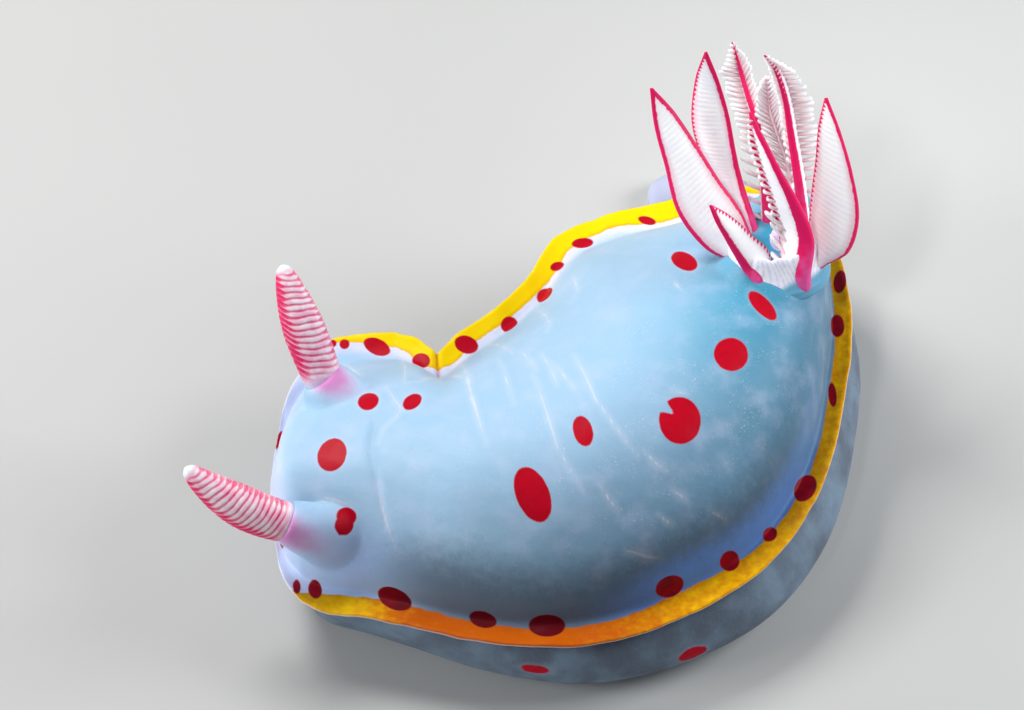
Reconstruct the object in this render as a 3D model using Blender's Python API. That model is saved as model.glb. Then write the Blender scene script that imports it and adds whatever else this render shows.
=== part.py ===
"""A spotted chromodorid sea slug at rest on the floor, curled to its right, at life size.

The head is at -X and the animal's left side is at -Y. Sizes are in millimetres and turned
into metres as each mesh is made. The body is two closed forms, the mantle above and the
foot with the tail below, each parted by thin cuts where a person would name its lengths.
The rhinophores stand in two pockets of the mantle and the gills round the vent in a third.
"""

import math

import bmesh
import bpy
import numpy as np
from mathutils import Matrix, Vector

MM = 0.001
GAP = 0.3

# Outline of the mantle from above, in pairs of points from the front to the rear.
RIGHT_RIM = (
    (-14.8, -4.5), (-14.6, -1.6), (-14.0, 1.7), (-12.4, 4.4), (-9.5, 5.0), (-7.8, 4.7),
    (-6.7, 3.85), (-5.75, 4.85), (-3.8, 6.4), (-2.1, 8.4), (-0.8, 10.8), (1.9, 12.2),
    (4.6, 12.9), (7.4, 13.6), (9.6, 13.8), (11.3, 13.0),
)
LEFT_RIM = (
    (-14.8, -4.5), (-14.5, -7.2), (-13.9, -9.8), (-12.4, -11.4), (-9.6, -12.0), (-7.0, -12.7),
    (-4.8, -13.3), (-2.0, -13.7), (1.2, -13.6), (5.0, -12.4), (9.3, -9.6), (12.3, -5.0),
    (13.8, 0.8), (14.3, 6.0), (13.4, 10.6), (11.3, 13.0),
)

# The rim lies close to one sloping plane: its height over the origin and its two slopes.
RIM_HEIGHT = 5.0
RIM_SLOPE_X = 0.028
RIM_SLOPE_Y = 0.052
RIM_THICK = 0.95
RIM_ROUND = 0.012
LIP_WIDTH = 1.6
LIP_CURL = 0.35

# Along the body, as shares of its length: height of the back and its place across.
BACK_SHARES = (0.0, 0.05, 0.13, 0.26, 0.42, 0.58, 0.72, 0.84, 0.93, 1.0)
BACK_HEIGHTS = (4.4, 5.9, 7.4, 8.9, 10.1, 10.7, 10.6, 9.9, 8.4, 6.0)
BACK_ACROSS = (0.44, 0.44, 0.44, 0.46, 0.47, 0.46, 0.44, 0.44, 0.48, 0.5)
BACK_SHAPE_RIGHT = (1.9, 1.0)
BACK_POWERS_LEFT = (2.5, 2.5, 2.5, 2.5, 2.5, 2.7, 3.0, 3.3, 3.0, 2.5)
BACK_SOFTEN_LEFT = (0.85, 0.85, 0.85, 0.85, 0.85, 0.8, 0.72, 0.68, 0.75, 0.85)
BACK_RINGS = 46
FULL_CHORD = 18.0
BACK_STEPS = (0.1, 0.5, 1.0, 1.6, 2.3, 3.3)
BACK_SPLITS = (0.38, 0.52, 0.68, 0.84, 1.0)

# Flank and foot: how far the side swells past the rim, and its section from top to sole.
FOOT_SHARES = (0.0, 0.14, 0.28, 0.42, 0.6, 0.8, 0.92, 1.0)
SWELL_LEFT = (-1.6, -1.5, -0.7, 0.2, 0.75, 0.9, 0.5, -0.3)
SWELL_RIGHT = (-1.5, -1.2, -1.0, -0.8, -0.6, -0.6, -0.5, -0.3)
FLANK_HEIGHTS = (1.0, 0.88, 0.66, 0.4, 0.16, 0.0)
FLANK_INSETS = (0.9, 0.4, 0.05, 0.0, 0.55, 1.7)
FOOT_FRONT = 0.12
FOOT_REAR = 0.965
FOOT_END = 0.09
FOOT_RINGS = 34

# Tail: middle line on the floor, half widths and heights from root to tip.
TAIL_LINE = ((9.8, 10.0), (9.6, 12.6), (8.4, 15.2), (6.5, 17.2), (4.4, 18.3))
TAIL_HALF_WIDTHS = (3.4, 3.1, 2.6, 2.0, 1.1)
TAIL_HEIGHTS = (3.4, 2.9, 2.4, 1.9, 1.3)
TAIL_RINGS = 14
TAIL_SIDES = 12

# Cuts that part the two forms, as shares of the body's length or the tail's.
MANTLE_CUTS = (0.36, 0.68)
FOOT_CUTS = (0.26, 0.46, 0.7)
TAIL_CUT = 0.42

# Oral tentacles: root and tip, with their radii there.
ORAL_ROOTS = {"left": (-12.3, -6.7, 2.0), "right": (-12.3, -2.3, 2.0)}
ORAL_TIPS = {"left": (-13.9, -7.6, 1.7), "right": (-14.0, -1.5, 1.7)}
ORAL_RADII = (0.62, 0.3)
MOUTH = (-13.25, -4.5, 1.0)
MOUTH_SIZES = (0.9, 0.5, 1.1)

# Rhinophores: place on the mantle (share of length, share across), direction and sizes.
RHINOPHORE_PLACES = {"left": (0.195, 0.178), "right": (0.2, 0.67)}
RHINOPHORE_LINES = {"left": (-0.822, 0.153, 0.549), "right": (-0.316, 0.55, 0.774)}
SHEATH_RADII = (1.5, 1.4)
SHEATH_HEIGHT = 0.22
SHEATH_ROOT = 0.8
STALK_POCKET_RADIUS = 0.95
STALK_POCKET_DEPTH = 1.0
STALK_RADII = (0.55, 0.62)
STALK_TOPS = {"left": 1.2, "right": 0.35}
STALK_UPRIGHT = 0.35
CLUB_LENGTH = 6.0
CLUB_RIDGES = 13
CLUB_RIDGE_DEPTH = 0.17
CLUB_SHARES = (0.0, 0.12, 0.3, 0.5, 0.75, 0.92, 1.0)
CLUB_RADII = (0.66, 0.93, 1.1, 1.02, 0.72, 0.46, 0.3)
CLUB_SIDES = 16
CLUB_BOWS = {"left": (-0.05, -0.1, -0.08), "right": (-0.2, 0.0, 0.0)}

# Gills: pocket and collar round the vent, then each gill's place on the ring and its tip.
VENT_PLACE = (0.79, 0.385)
VENT_LINE = (-0.08, 0.36, 0.93)
COLLAR_RADII = (3.1, 2.8)
COLLAR_HEIGHT = 0.3
COLLAR_ROOT = 1.3
VENT_POCKET_RADIUS = 2.3
VENT_POCKET_DEPTH = 0.8
PAPILLA_RADII = (0.62, 0.4)
PAPILLA_HEIGHT = 1.7
GILL_RING_RADIUS = 1.56
GILL_ROOT_DROP = 0.5
GILL_RISE = 2.2
GILL_BOWS = (0.15, 1.7)
GILL_SECTION = (
    (0.0, 0.7), (0.5, 0.45), (1.0, -0.12), (0.6, -0.3), (-0.6, -0.3), (-1.0, -0.12), (-0.5, 0.45),
)
GILLS = (
    ("gill_1", 184.0, (-5.8, 4.1, 7.0), 1.0),
    ("gill_2", 146.0, (-4.1, 6.0, 8.4), 0.8),
    ("gill_3", 117.0, (-2.6, 8.3, 7.0), 1.0),
    ("gill_4", 78.0, (-0.7, 6.35, 6.8), 0.3),
    ("gill_5", 30.0, (-0.45, 5.15, 9.95), 1.15),
    ("gill_6", -20.0, (2.2, 3.1, 6.9), 1.5),
    ("gill_7", -72.0, (-1.8, 2.6, 7.7), 0.7),
    ("gill_8", -122.0, (-3.4, -0.3, 4.85), 0.3),
)
GILL_SHARES = (0.0, 0.15, 0.38, 0.65, 0.88, 1.0)
GILL_HALF_WIDTHS = (0.27, 0.29, 0.46, 0.44, 0.32, 0.22)
GILL_DEPTHS = (0.5, 0.72, 1.9, 1.75, 0.95, 0.45)
GILL_RINGS = 10

# Leaflets down both inner edges of each gill: spacing, sizes, how each one tapers, and how
# far it goes sideways, out from the keel and up the stem.
LEAFLET_SPACING = 0.95
LEAFLET_SPAN = (0.34, 0.93)
LEAFLET_REACH = 0.38
LEAFLET_SINK = 0.3
LEAFLET_THICK = 0.5
LEAFLET_TALL = 0.7
LEAFLET_TAPER = ((0.0, 1.0), (0.55, 0.9), (1.0, 0.5))
LEAFLET_SPREAD = (0.8, -0.5, 0.35)

BODY_BLUE = (0.36, 0.53, 0.68)
FLANK_BLUE = (0.27, 0.38, 0.5)
HEAD_LILAC = (0.52, 0.5, 0.68)
STALK_LILAC = (0.62, 0.36, 0.6)
CLUB_PINK = (0.72, 0.24, 0.32)
GILL_WHITE = (0.78, 0.6, 0.72)


def through(knots, values, at):
    """Smooth curve through values at knots, its slope at each knot that of its neighbours."""
    knots = np.asarray(knots, float)
    values = np.asarray(values, float)
    flat = values.reshape(len(knots), -1)
    at = np.clip(np.asarray(at, float), knots[0], knots[-1])
    step = np.diff(knots)[:, None]
    slope = np.diff(flat, axis=0) / step
    inner = (slope[1:] * step[:-1] + slope[:-1] * step[1:]) / (step[1:] + step[:-1])
    slopes = np.concatenate([slope[:1], inner, slope[-1:]])
    index = np.clip(np.searchsorted(knots, at, side="right") - 1, 0, len(knots) - 2)
    width = step[index]
    t = (at - knots[index])[..., None] / width
    start = (2 * t**3 - 3 * t**2 + 1) * flat[index] + (t**3 - 2 * t**2 + t) * width * slopes[index]
    end = (3 * t**2 - 2 * t**3) * flat[index + 1] + (t**3 - t**2) * width * slopes[index + 1]
    return (start + end).reshape(at.shape + values.shape[1:])


def rim_shares():
    """Share of the body's length at each pair of rim points, from the mean of both rims."""
    right = np.asarray(RIGHT_RIM)
    left = np.asarray(LEFT_RIM)
    steps = np.linalg.norm(np.diff(right, axis=0), axis=1) + np.linalg.norm(np.diff(left, axis=0), axis=1)
    along = np.concatenate([[0.0], np.cumsum(steps)])
    return along / along[-1]


def rim(share, side):
    """Point of the rim in plan. It runs on round both ends, so that they close smoothly."""
    own, other = (RIGHT_RIM, LEFT_RIM) if side == "right" else (LEFT_RIM, RIGHT_RIM)
    shares = rim_shares()
    knots = np.concatenate([[-shares[1]], shares, [2.0 - shares[-2]]])
    points = np.concatenate([other[1:2], own, other[-2:-1]])
    return through(knots, points, share)


def rim_level(x, y):
    """Height of the mantle's rim over the floor."""
    return RIM_HEIGHT + RIM_SLOPE_X * x + RIM_SLOPE_Y * y


def mantle_top(share, across):
    """Upper surface of the mantle: a lip along the rim, curled up a little, then the back."""
    share, across = np.broadcast_arrays(np.asarray(share, float), np.asarray(across, float))
    left = rim(share, "left")
    right = rim(share, "right")
    plan = left + (right - left) * across[..., None]
    chord = np.linalg.norm(right - left, axis=-1)
    middle = through(BACK_SHARES, BACK_ACROSS, share)
    on_left = across < middle
    half = np.where(on_left, middle, 1.0 - middle) * chord
    inward = np.where(on_left, across, 1.0 - across) * chord
    lip = np.minimum(LIP_WIDTH, 0.35 * half)
    level = rim_level(plan[..., 0], plan[..., 1])
    curl = LIP_CURL * lip / LIP_WIDTH
    on_lip = np.clip(inward / np.maximum(lip, 1e-6), 0.0, 1.0)
    base = level - curl * (1.0 - (1.0 - on_lip) ** 2)
    up = np.clip((inward - lip) / np.maximum(half - lip, 1e-6), 0.0, 1.0)
    power = np.where(on_left, through(BACK_SHARES, BACK_POWERS_LEFT, share), BACK_SHAPE_RIGHT[0])
    soften = np.where(on_left, through(BACK_SHARES, BACK_SOFTEN_LEFT, share), BACK_SHAPE_RIGHT[1])
    rise = (1.0 - (1.0 - up) ** power) ** soften
    back = through(BACK_SHARES, BACK_HEIGHTS, share)
    height = base + np.maximum(back - base, 0.0) * rise
    return np.concatenate([plan, height[..., None]], axis=-1)


def surface_normal(share, across):
    """Outward direction of the mantle's upper surface."""
    step = 0.01
    along = mantle_top(share + step, across) - mantle_top(share - step, across)
    over = mantle_top(share, across + step) - mantle_top(share, across - step)
    normal = np.cross(along, over)
    normal /= np.linalg.norm(normal)
    return normal if normal[2] > 0 else -normal


def ball_mesh(name, rings, front, rear):
    """Closed mesh from closed rings of points, with one point added at each end."""
    count, sides = rings.shape[:2]
    points = np.concatenate([rings.reshape(-1, 3), [front], [rear]]) * MM
    faces = []
    for ring in range(count - 1):
        for side in range(sides):
            after = (side + 1) % sides
            a, b = ring * sides + side, ring * sides + after
            faces.append((a, b, b + sides, a + sides))
    last = (count - 1) * sides
    for side in range(sides):
        after = (side + 1) % sides
        faces.append((count * sides, after, side))
        faces.append((count * sides + 1, last + side, last + after))
    return closed_mesh(name, points, faces)


def closed_mesh(name, points, faces):
    """Mesh object from points and faces, split into triangles, facing outward."""
    mesh = bpy.data.meshes.new(name)
    mesh.from_pydata([tuple(point) for point in points], [], faces)
    work = bmesh.new()
    work.from_mesh(mesh)
    bmesh.ops.triangulate(work, faces=work.faces[:])
    bmesh.ops.recalc_face_normals(work, faces=work.faces[:])
    if work.calc_volume(signed=True) < 0:
        bmesh.ops.reverse_faces(work, faces=work.faces[:])
    work.to_mesh(mesh)
    work.free()
    part = bpy.data.objects.new(name, mesh)
    cutters.objects.link(part)
    part.hide_render = True
    part.display_type = "WIRE"
    return part


def across_steps(share):
    """Shares across the mantle from the left rim to the right one, close set at the rims."""
    chord = np.linalg.norm(rim(share, "right") - rim(share, "left"))
    middle = float(through(BACK_SHARES, BACK_ACROSS, share))
    steps = []
    for half in (middle, 1.0 - middle):
        near = np.array(BACK_STEPS) / (0.5 * FULL_CHORD)
        near = near * half * min(1.0, FULL_CHORD / max(chord, 1e-6)) ** 0.5
        far = half * (near[-1] / half + (1.0 - near[-1] / half) * np.array(BACK_SPLITS))
        steps.append(np.concatenate([[0.0], near, far]))
    left, right = steps
    return np.concatenate([left, 1.0 - right[-2::-1]])


def whole_mantle():
    """Mantle as one closed form: the back above, one sloping plane below, a round rim."""
    shares = np.linspace(0.0, 1.0, BACK_RINGS + 1)[1:-1]
    rings = []
    for share in shares:
        across = across_steps(share)
        top = mantle_top(share, across)
        edge = mantle_top(share, np.array([0.0, 1.0]))
        edge[:, 2] -= 0.5 * RIM_THICK
        top[0] = edge[0]
        top[-1] = edge[1]
        top[1] = mantle_top(share, RIM_ROUND)
        top[-2] = mantle_top(share, 1.0 - RIM_ROUND)
        under = mantle_top(share, np.array([1.0 - RIM_ROUND, 0.75, 0.5, 0.25, RIM_ROUND]))
        under[:, 2] = rim_level(under[:, 0], under[:, 1]) - RIM_THICK
        rings.append(np.concatenate([top, under]))
    ends = mantle_top(np.array([0.0, 1.0]), 0.5)
    ends[:, 2] -= 0.5 * RIM_THICK
    return ball_mesh("mantle", np.array(rings), ends[0], ends[1])


def foot_ring(share):
    """Section of the flank and foot on one line across the body, from the left sole round."""
    left = rim(share, "left")
    right = rim(share, "right")
    chord = np.linalg.norm(right - left)
    out = (left - right) / chord
    scale = min(1.0, chord / 8.0)
    end = min(share - FOOT_FRONT, FOOT_REAR - share) / FOOT_END
    fullness = math.sqrt(max(1.0 - (1.0 - min(end, 1.0)) ** 2, 0.0))
    insets = np.array(FLANK_INSETS)
    sides = []
    for corner, away, swells in ((left, out, SWELL_LEFT), (right, -out, SWELL_RIGHT)):
        swell = float(through(FOOT_SHARES, swells, share))
        offset = (swell * np.minimum(1.0, 2.0 - 2.0 * np.array(FLANK_HEIGHTS)) - insets) * scale
        plan = corner + away * offset[:, None]
        top = rim_level(plan[:, 0], plan[:, 1]) - RIM_THICK - GAP
        sides.append(np.c_[plan, top * FLANK_HEIGHTS])
    shares = np.array([0.25, 0.5, 0.75])[:, None]
    cap = sides[0][0] + (sides[1][0] - sides[0][0]) * shares
    sole = sides[1][-1] + (sides[0][-1] - sides[1][-1]) * shares
    ring = np.concatenate([sides[0][::-1], cap, sides[1], sole])
    centre = ring.mean(axis=0)
    middle = np.array([centre[0], centre[1], 2.0])
    return middle + (ring - middle) * np.array([fullness**0.5, fullness**0.5, fullness]), middle


def whole_foot():
    """Flank, head and foot as one closed form under the mantle, flat on the floor."""
    shares = np.linspace(FOOT_FRONT, FOOT_REAR, FOOT_RINGS + 1)[1:-1]
    rings = np.array([foot_ring(share)[0] for share in shares])
    return ball_mesh("foot", rings, foot_ring(FOOT_FRONT)[1], foot_ring(FOOT_REAR)[1])


def whole_tail():
    """Tail: a tapering tongue, flat below and arched above, along its bent line."""
    knots = np.linspace(0.0, 1.0, len(TAIL_LINE))
    shares = 1.0 - (1.0 - np.linspace(0.0, 0.99, TAIL_RINGS)) ** 1.3
    centres = through(knots, TAIL_LINE, shares)
    ahead = through(knots, TAIL_LINE, np.minimum(shares + 0.02, 1.0))
    behind = through(knots, TAIL_LINE, shares - 0.02)
    lines = (ahead - behind) / np.linalg.norm(ahead - behind, axis=1, keepdims=True)
    angles = np.linspace(0.0, math.pi, TAIL_SIDES - 3)
    rings = []
    for share, centre, line in zip(shares, centres, lines):
        close = math.sqrt(1.0 - max(0.0, (share - 0.85) / 0.15) ** 2)
        half = float(through(knots, TAIL_HALF_WIDTHS, share)) * close
        tall = float(through(knots, TAIL_HEIGHTS, share)) * (0.4 + 0.6 * close)
        over = np.array([-line[1], line[0]])
        arch = centre + over * (half * np.cos(angles))[:, None]
        sole = centre + over * (half * 0.8 * np.array([-0.5, 0.0, 0.5]))[:, None]
        heights = np.concatenate([tall * np.sin(angles) ** 0.8, [0.0, 0.0, 0.0]])
        rings.append(np.c_[np.concatenate([arch, sole]), heights])
    rings = np.array(rings)
    tip = np.append(through(knots, TAIL_LINE, 1.0), 0.4 * TAIL_HEIGHTS[-1] * 0.5)
    return ball_mesh("tail", rings, rings[0].mean(axis=0), tip)


def apply_boolean(part, others, operation):
    """Joins the other objects to the part, or cuts them from it, and removes them."""
    group = bpy.data.collections.new("operands")
    bpy.context.scene.collection.children.link(group)
    for other in others:
        group.objects.link(other)
    modifier = part.modifiers.new("shape", "BOOLEAN")
    modifier.operation = operation
    modifier.operand_type = "COLLECTION"
    modifier.collection = group
    modifier.solver = "EXACT"
    bpy.context.view_layer.update()
    evaluated = part.evaluated_get(bpy.context.evaluated_depsgraph_get())
    mesh = bpy.data.meshes.new_from_object(evaluated)
    part.modifiers.clear()
    part.data = mesh
    for other in others:
        bpy.data.objects.remove(other)
    bpy.data.collections.remove(group)
    return part


def mouth_cutter():
    """Small upright hollow for the mouth, at the front of the head between the tentacles."""
    work = bmesh.new()
    bmesh.ops.create_uvsphere(work, u_segments=12, v_segments=8, radius=0.5 * MM)
    mesh = bpy.data.meshes.new("mouth")
    work.to_mesh(mesh)
    work.free()
    mesh.transform(Matrix.Translation(Vector(MOUTH) * MM) @ Matrix.Diagonal((*MOUTH_SIZES, 1.0)))
    part = bpy.data.objects.new("mouth", mesh)
    cutters.objects.link(part)
    part.hide_render = True
    part.display_type = "WIRE"
    return part


def slab(centre, along, across, depth, height):
    """Thin upright box whose thickness is the gap between two neighbours."""
    box = bmesh.new()
    bmesh.ops.create_cube(box, size=1.0)
    mesh = bpy.data.meshes.new("slab")
    box.to_mesh(mesh)
    box.free()
    along = Vector((along[0], along[1], 0.0)).normalized()
    over = Vector((0.0, 0.0, 1.0)).cross(along)
    turn = Matrix((along, over, Vector((0.0, 0.0, 1.0)))).transposed().to_4x4()
    sizes = Matrix.Diagonal((GAP * MM, across * MM, height * MM, 1.0))
    move = Matrix.Translation(Vector((centre[0], centre[1], depth)) * MM)
    mesh.transform(move @ turn @ sizes)
    part = bpy.data.objects.new("slab", mesh)
    cutters.objects.link(part)
    part.hide_render = True
    part.display_type = "WIRE"
    return part


def cut_across(share):
    """Slab along the line between the two rims at one share of the body's length."""
    left = rim(share, "left")
    right = rim(share, "right")
    chord = right - left
    along = np.array([chord[1], -chord[0]])
    return slab((left + right) / 2, along, np.linalg.norm(chord) + 4.0, 5.0, 24.0)


def frustum(name, base, line, radii, height, sides=20):
    """Round tapering plug from its base point along its line."""
    work = bmesh.new()
    bmesh.ops.create_cone(
        work, cap_ends=True, cap_tris=False, segments=sides, radius1=radii[0] * MM,
        radius2=radii[1] * MM, depth=height * MM,
    )
    mesh = bpy.data.meshes.new(name)
    work.to_mesh(mesh)
    work.free()
    line = Vector(line).normalized()
    turn = line.to_track_quat("Z", "Y").to_matrix().to_4x4()
    middle = Vector(base) * MM + line * (0.5 * height * MM)
    mesh.transform(Matrix.Translation(middle) @ turn)
    part = bpy.data.objects.new(name, mesh)
    cutters.objects.link(part)
    part.hide_render = True
    part.display_type = "WIRE"
    return part


def islands(part):
    """Separate bodies of a mesh, each as the list of its faces, largest first."""
    work = bmesh.new()
    work.from_mesh(part.data)
    seen = set()
    found = []
    for start in work.faces:
        if start.index in seen:
            continue
        seen.add(start.index)
        queue = [start]
        body = []
        while queue:
            face = queue.pop()
            body.append(face.index)
            for edge in face.edges:
                for other in edge.link_faces:
                    if other.index not in seen:
                        seen.add(other.index)
                        queue.append(other)
        found.append(body)
    work.free()
    return sorted(found, key=len, reverse=True)


def keep_faces(part, faces, name):
    """New object with only these faces of the part."""
    wanted = set(faces)
    work = bmesh.new()
    work.from_mesh(part.data)
    dropped = [face for face in work.faces if face.index not in wanted]
    bmesh.ops.delete(work, geom=dropped, context="FACES")
    loose = [vertex for vertex in work.verts if not vertex.link_faces]
    bmesh.ops.delete(work, geom=loose, context="VERTS")
    bmesh.ops.triangulate(work, faces=work.faces[:])
    mesh = bpy.data.meshes.new(name)
    work.to_mesh(mesh)
    work.free()
    piece = bpy.data.objects.new(name, mesh)
    cutters.objects.link(piece)
    return piece


def largest(part, name):
    """The part's largest closed surface, as an object of its own."""
    piece = keep_faces(part, islands(part)[0], name)
    bpy.data.objects.remove(part)
    piece.name = name
    return piece


def pieces_near(part, places):
    """Parts a cut form into the bodies nearest the named places."""
    bodies = islands(part)
    points = np.array([tuple(vertex.co) for vertex in part.data.vertices]) / MM
    middles = []
    for body in bodies:
        used = {index for face in body for index in part.data.polygons[face].vertices}
        middles.append(points[sorted(used)].mean(axis=0))
    pieces = {}
    for name, place in places.items():
        distances = [np.linalg.norm(middle[: len(place)] - place) for middle in middles]
        pieces[name] = keep_faces(part, bodies[int(np.argmin(distances))], name)
    bpy.data.objects.remove(part)
    return pieces


def finish(part, colour, roughness, smooth_angle=40.0):
    """Shows the part in the model's collection, smooth shaded, with its own material."""
    material = bpy.data.materials.new(part.name + "_skin")
    material.use_nodes = True
    shader = material.node_tree.nodes["Principled BSDF"]
    shader.inputs["Base Color"].default_value = (*colour, 1.0)
    shader.inputs["Roughness"].default_value = roughness
    shader.inputs["Metallic"].default_value = 0.0
    part.data.materials.clear()
    part.data.materials.append(material)
    part.data.shade_smooth()
    part.data.set_sharp_from_angle(angle=math.radians(smooth_angle))
    part.data.name = part.name
    part.hide_render = False
    part.display_type = "TEXTURED"
    cutters.objects.unlink(part)
    slug.objects.link(part)


def place_on_mantle(place):
    """Point of the mantle's upper surface at (share of length, share across)."""
    return mantle_top(np.array(place[0]), np.array(place[1]))


def unit(vector):
    """Vector of length one along the given one."""
    vector = np.asarray(vector, float)
    return vector / np.linalg.norm(vector)


def make_mantle():
    """Mantle in three lengths, with a pocket for each rhinophore and one for the gills."""
    mantle = whole_mantle()
    collars = []
    pockets = []
    for side, place in RHINOPHORE_PLACES.items():
        foot = place_on_mantle(place)
        line = unit(surface_normal(*place) + unit(RHINOPHORE_LINES[side]))
        collars.append(
            frustum("sheath", foot - line * SHEATH_ROOT, line, SHEATH_RADII, SHEATH_ROOT + SHEATH_HEIGHT)
        )
        bottom = foot - line * STALK_POCKET_DEPTH
        radii = (STALK_POCKET_RADIUS, STALK_POCKET_RADIUS)
        pockets.append(frustum("pocket", bottom, line, radii, STALK_POCKET_DEPTH + 2.0, 16))
    foot = place_on_mantle(VENT_PLACE)
    line = unit(VENT_LINE)
    collars.append(
        frustum("collar", foot - line * COLLAR_ROOT, line, COLLAR_RADII, COLLAR_ROOT + COLLAR_HEIGHT, 28)
    )
    radii = (VENT_POCKET_RADIUS, VENT_POCKET_RADIUS)
    bottom = foot - line * VENT_POCKET_DEPTH
    pockets.append(frustum("pocket", bottom, line, radii, VENT_POCKET_DEPTH + 4.0, 28))
    apply_boolean(mantle, collars, "UNION")
    apply_boolean(mantle, pockets + [cut_across(share) for share in MANTLE_CUTS], "DIFFERENCE")
    ends = (0.0,) + MANTLE_CUTS + (1.0,)
    names = ("mantle_front", "mantle_middle", "mantle_rear")
    places = {
        name: mantle_top(np.array((first + last) / 2), np.array(0.5))[:2]
        for name, first, last in zip(names, ends, ends[1:])
    }
    for piece in pieces_near(mantle, places).values():
        finish(piece, BODY_BLUE, 0.35)


def make_foot():
    """Head, three lengths of foot and the tail, and the oral tentacles, parted by slabs."""
    foot = whole_foot()
    tentacles = []
    slabs = [cut_across(share) for share in FOOT_CUTS]
    for side, root in ORAL_ROOTS.items():
        line = np.subtract(ORAL_TIPS[side], root)
        tentacles.append(frustum("oral", root, line, ORAL_RADII, np.linalg.norm(line), 12))
    apply_boolean(foot, [whole_tail()] + tentacles, "UNION")
    knots = np.linspace(0.0, 1.0, len(TAIL_LINE))
    at = through(knots, TAIL_LINE, TAIL_CUT)
    line = through(knots, TAIL_LINE, TAIL_CUT + 0.05) - at
    slabs.append(slab(at, line, 10.0, 1.0, 12.0))
    apply_boolean(foot, slabs + [mouth_cutter()], "DIFFERENCE")
    ends = (0.0,) + FOOT_CUTS + (1.0,)
    names = ("head", "foot_front", "foot_middle", "foot_rear")
    places = {}
    for name, first, last in zip(names, ends, ends[1:]):
        share = (first + last) / 2
        places[name] = (rim(share, "left") + rim(share, "right")) / 2
    places["tail"] = through(knots, TAIL_LINE, 0.75)
    for name, piece in pieces_near(foot, places).items():
        finish(piece, HEAD_LILAC if name == "head" else FLANK_BLUE, 0.4)


def make_rhinophore(side):
    """Stalk in its pocket and the club on it, whose leaves are ridges round its surface."""
    place = RHINOPHORE_PLACES[side]
    foot = place_on_mantle(place)
    pocket_line = unit(surface_normal(*place) + unit(RHINOPHORE_LINES[side]))
    line = unit(RHINOPHORE_LINES[side])
    start = foot - pocket_line * (STALK_POCKET_DEPTH - GAP)
    corner = foot + pocket_line * STALK_UPRIGHT
    top = corner + line * STALK_TOPS[side]
    shares = np.linspace(0.0, 1.0, 7)
    centres = bent_line(start, corner, top, shares)
    radii = STALK_RADII[0] + (STALK_RADII[1] - STALK_RADII[0]) * shares
    stalk = tube("rhinophore_stalk_" + side, centres, radii, start - pocket_line, top + line, 14)
    finish(stalk, STALK_LILAC, 0.4)
    root = top + line * GAP
    rings = 2 * CLUB_RIDGES + 3
    shares = np.linspace(0.0, 1.0, rings)
    ridge = np.where(np.arange(rings) % 2 == 1, 0.0, 1.0)
    ridge[-3:] = 0.5
    radii = through(CLUB_SHARES, CLUB_RADII, shares) - CLUB_RIDGE_DEPTH * ridge
    centres = root + line * (CLUB_LENGTH * shares)[:, None]
    centres = centres + np.array(CLUB_BOWS[side]) * (4.0 * shares * (1.0 - shares))[:, None]
    club = tube("rhinophore_club_" + side, centres, radii, root - line, centres[-1] + line, CLUB_SIDES)
    finish(club, CLUB_PINK, 0.35, 60.0)


def bent_line(start, corner, end, shares):
    """Points on a curve from start to end that heads for the corner at both ends."""
    t = np.asarray(shares)[:, None]
    return (1 - t) ** 2 * start + 2 * t * (1 - t) * corner + t**2 * end


def tube(name, centres, radii, before, after, sides):
    """Closed round tube along its centres, the radius given at each of them."""
    path = np.concatenate([[before], centres, [after]])
    lines = path[2:] - path[:-2]
    lines /= np.linalg.norm(lines, axis=1, keepdims=True)
    first = np.cross(lines, (0.3, 0.2, 1.0) if abs(lines[0][2]) < 0.9 else (1.0, 0.0, 0.0))
    first /= np.linalg.norm(first, axis=1, keepdims=True)
    second = np.cross(lines, first)
    angles = np.linspace(0.0, 2.0 * math.pi, sides, endpoint=False)
    spread = first[:, None] * np.cos(angles)[:, None] + second[:, None] * np.sin(angles)[:, None]
    rings = centres[:, None] + spread * np.asarray(radii)[:, None, None]
    return ball_mesh(name, rings, centres[0], centres[-1])


def gill_frame():
    """Pocket's point on the mantle, its axis, and the two directions across it."""
    foot = place_on_mantle(VENT_PLACE)
    axis = unit(VENT_LINE)
    right = unit(np.cross((0.0, 1.0, 0.0), axis))
    back = np.cross(axis, right)
    return foot, axis, right, back


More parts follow.
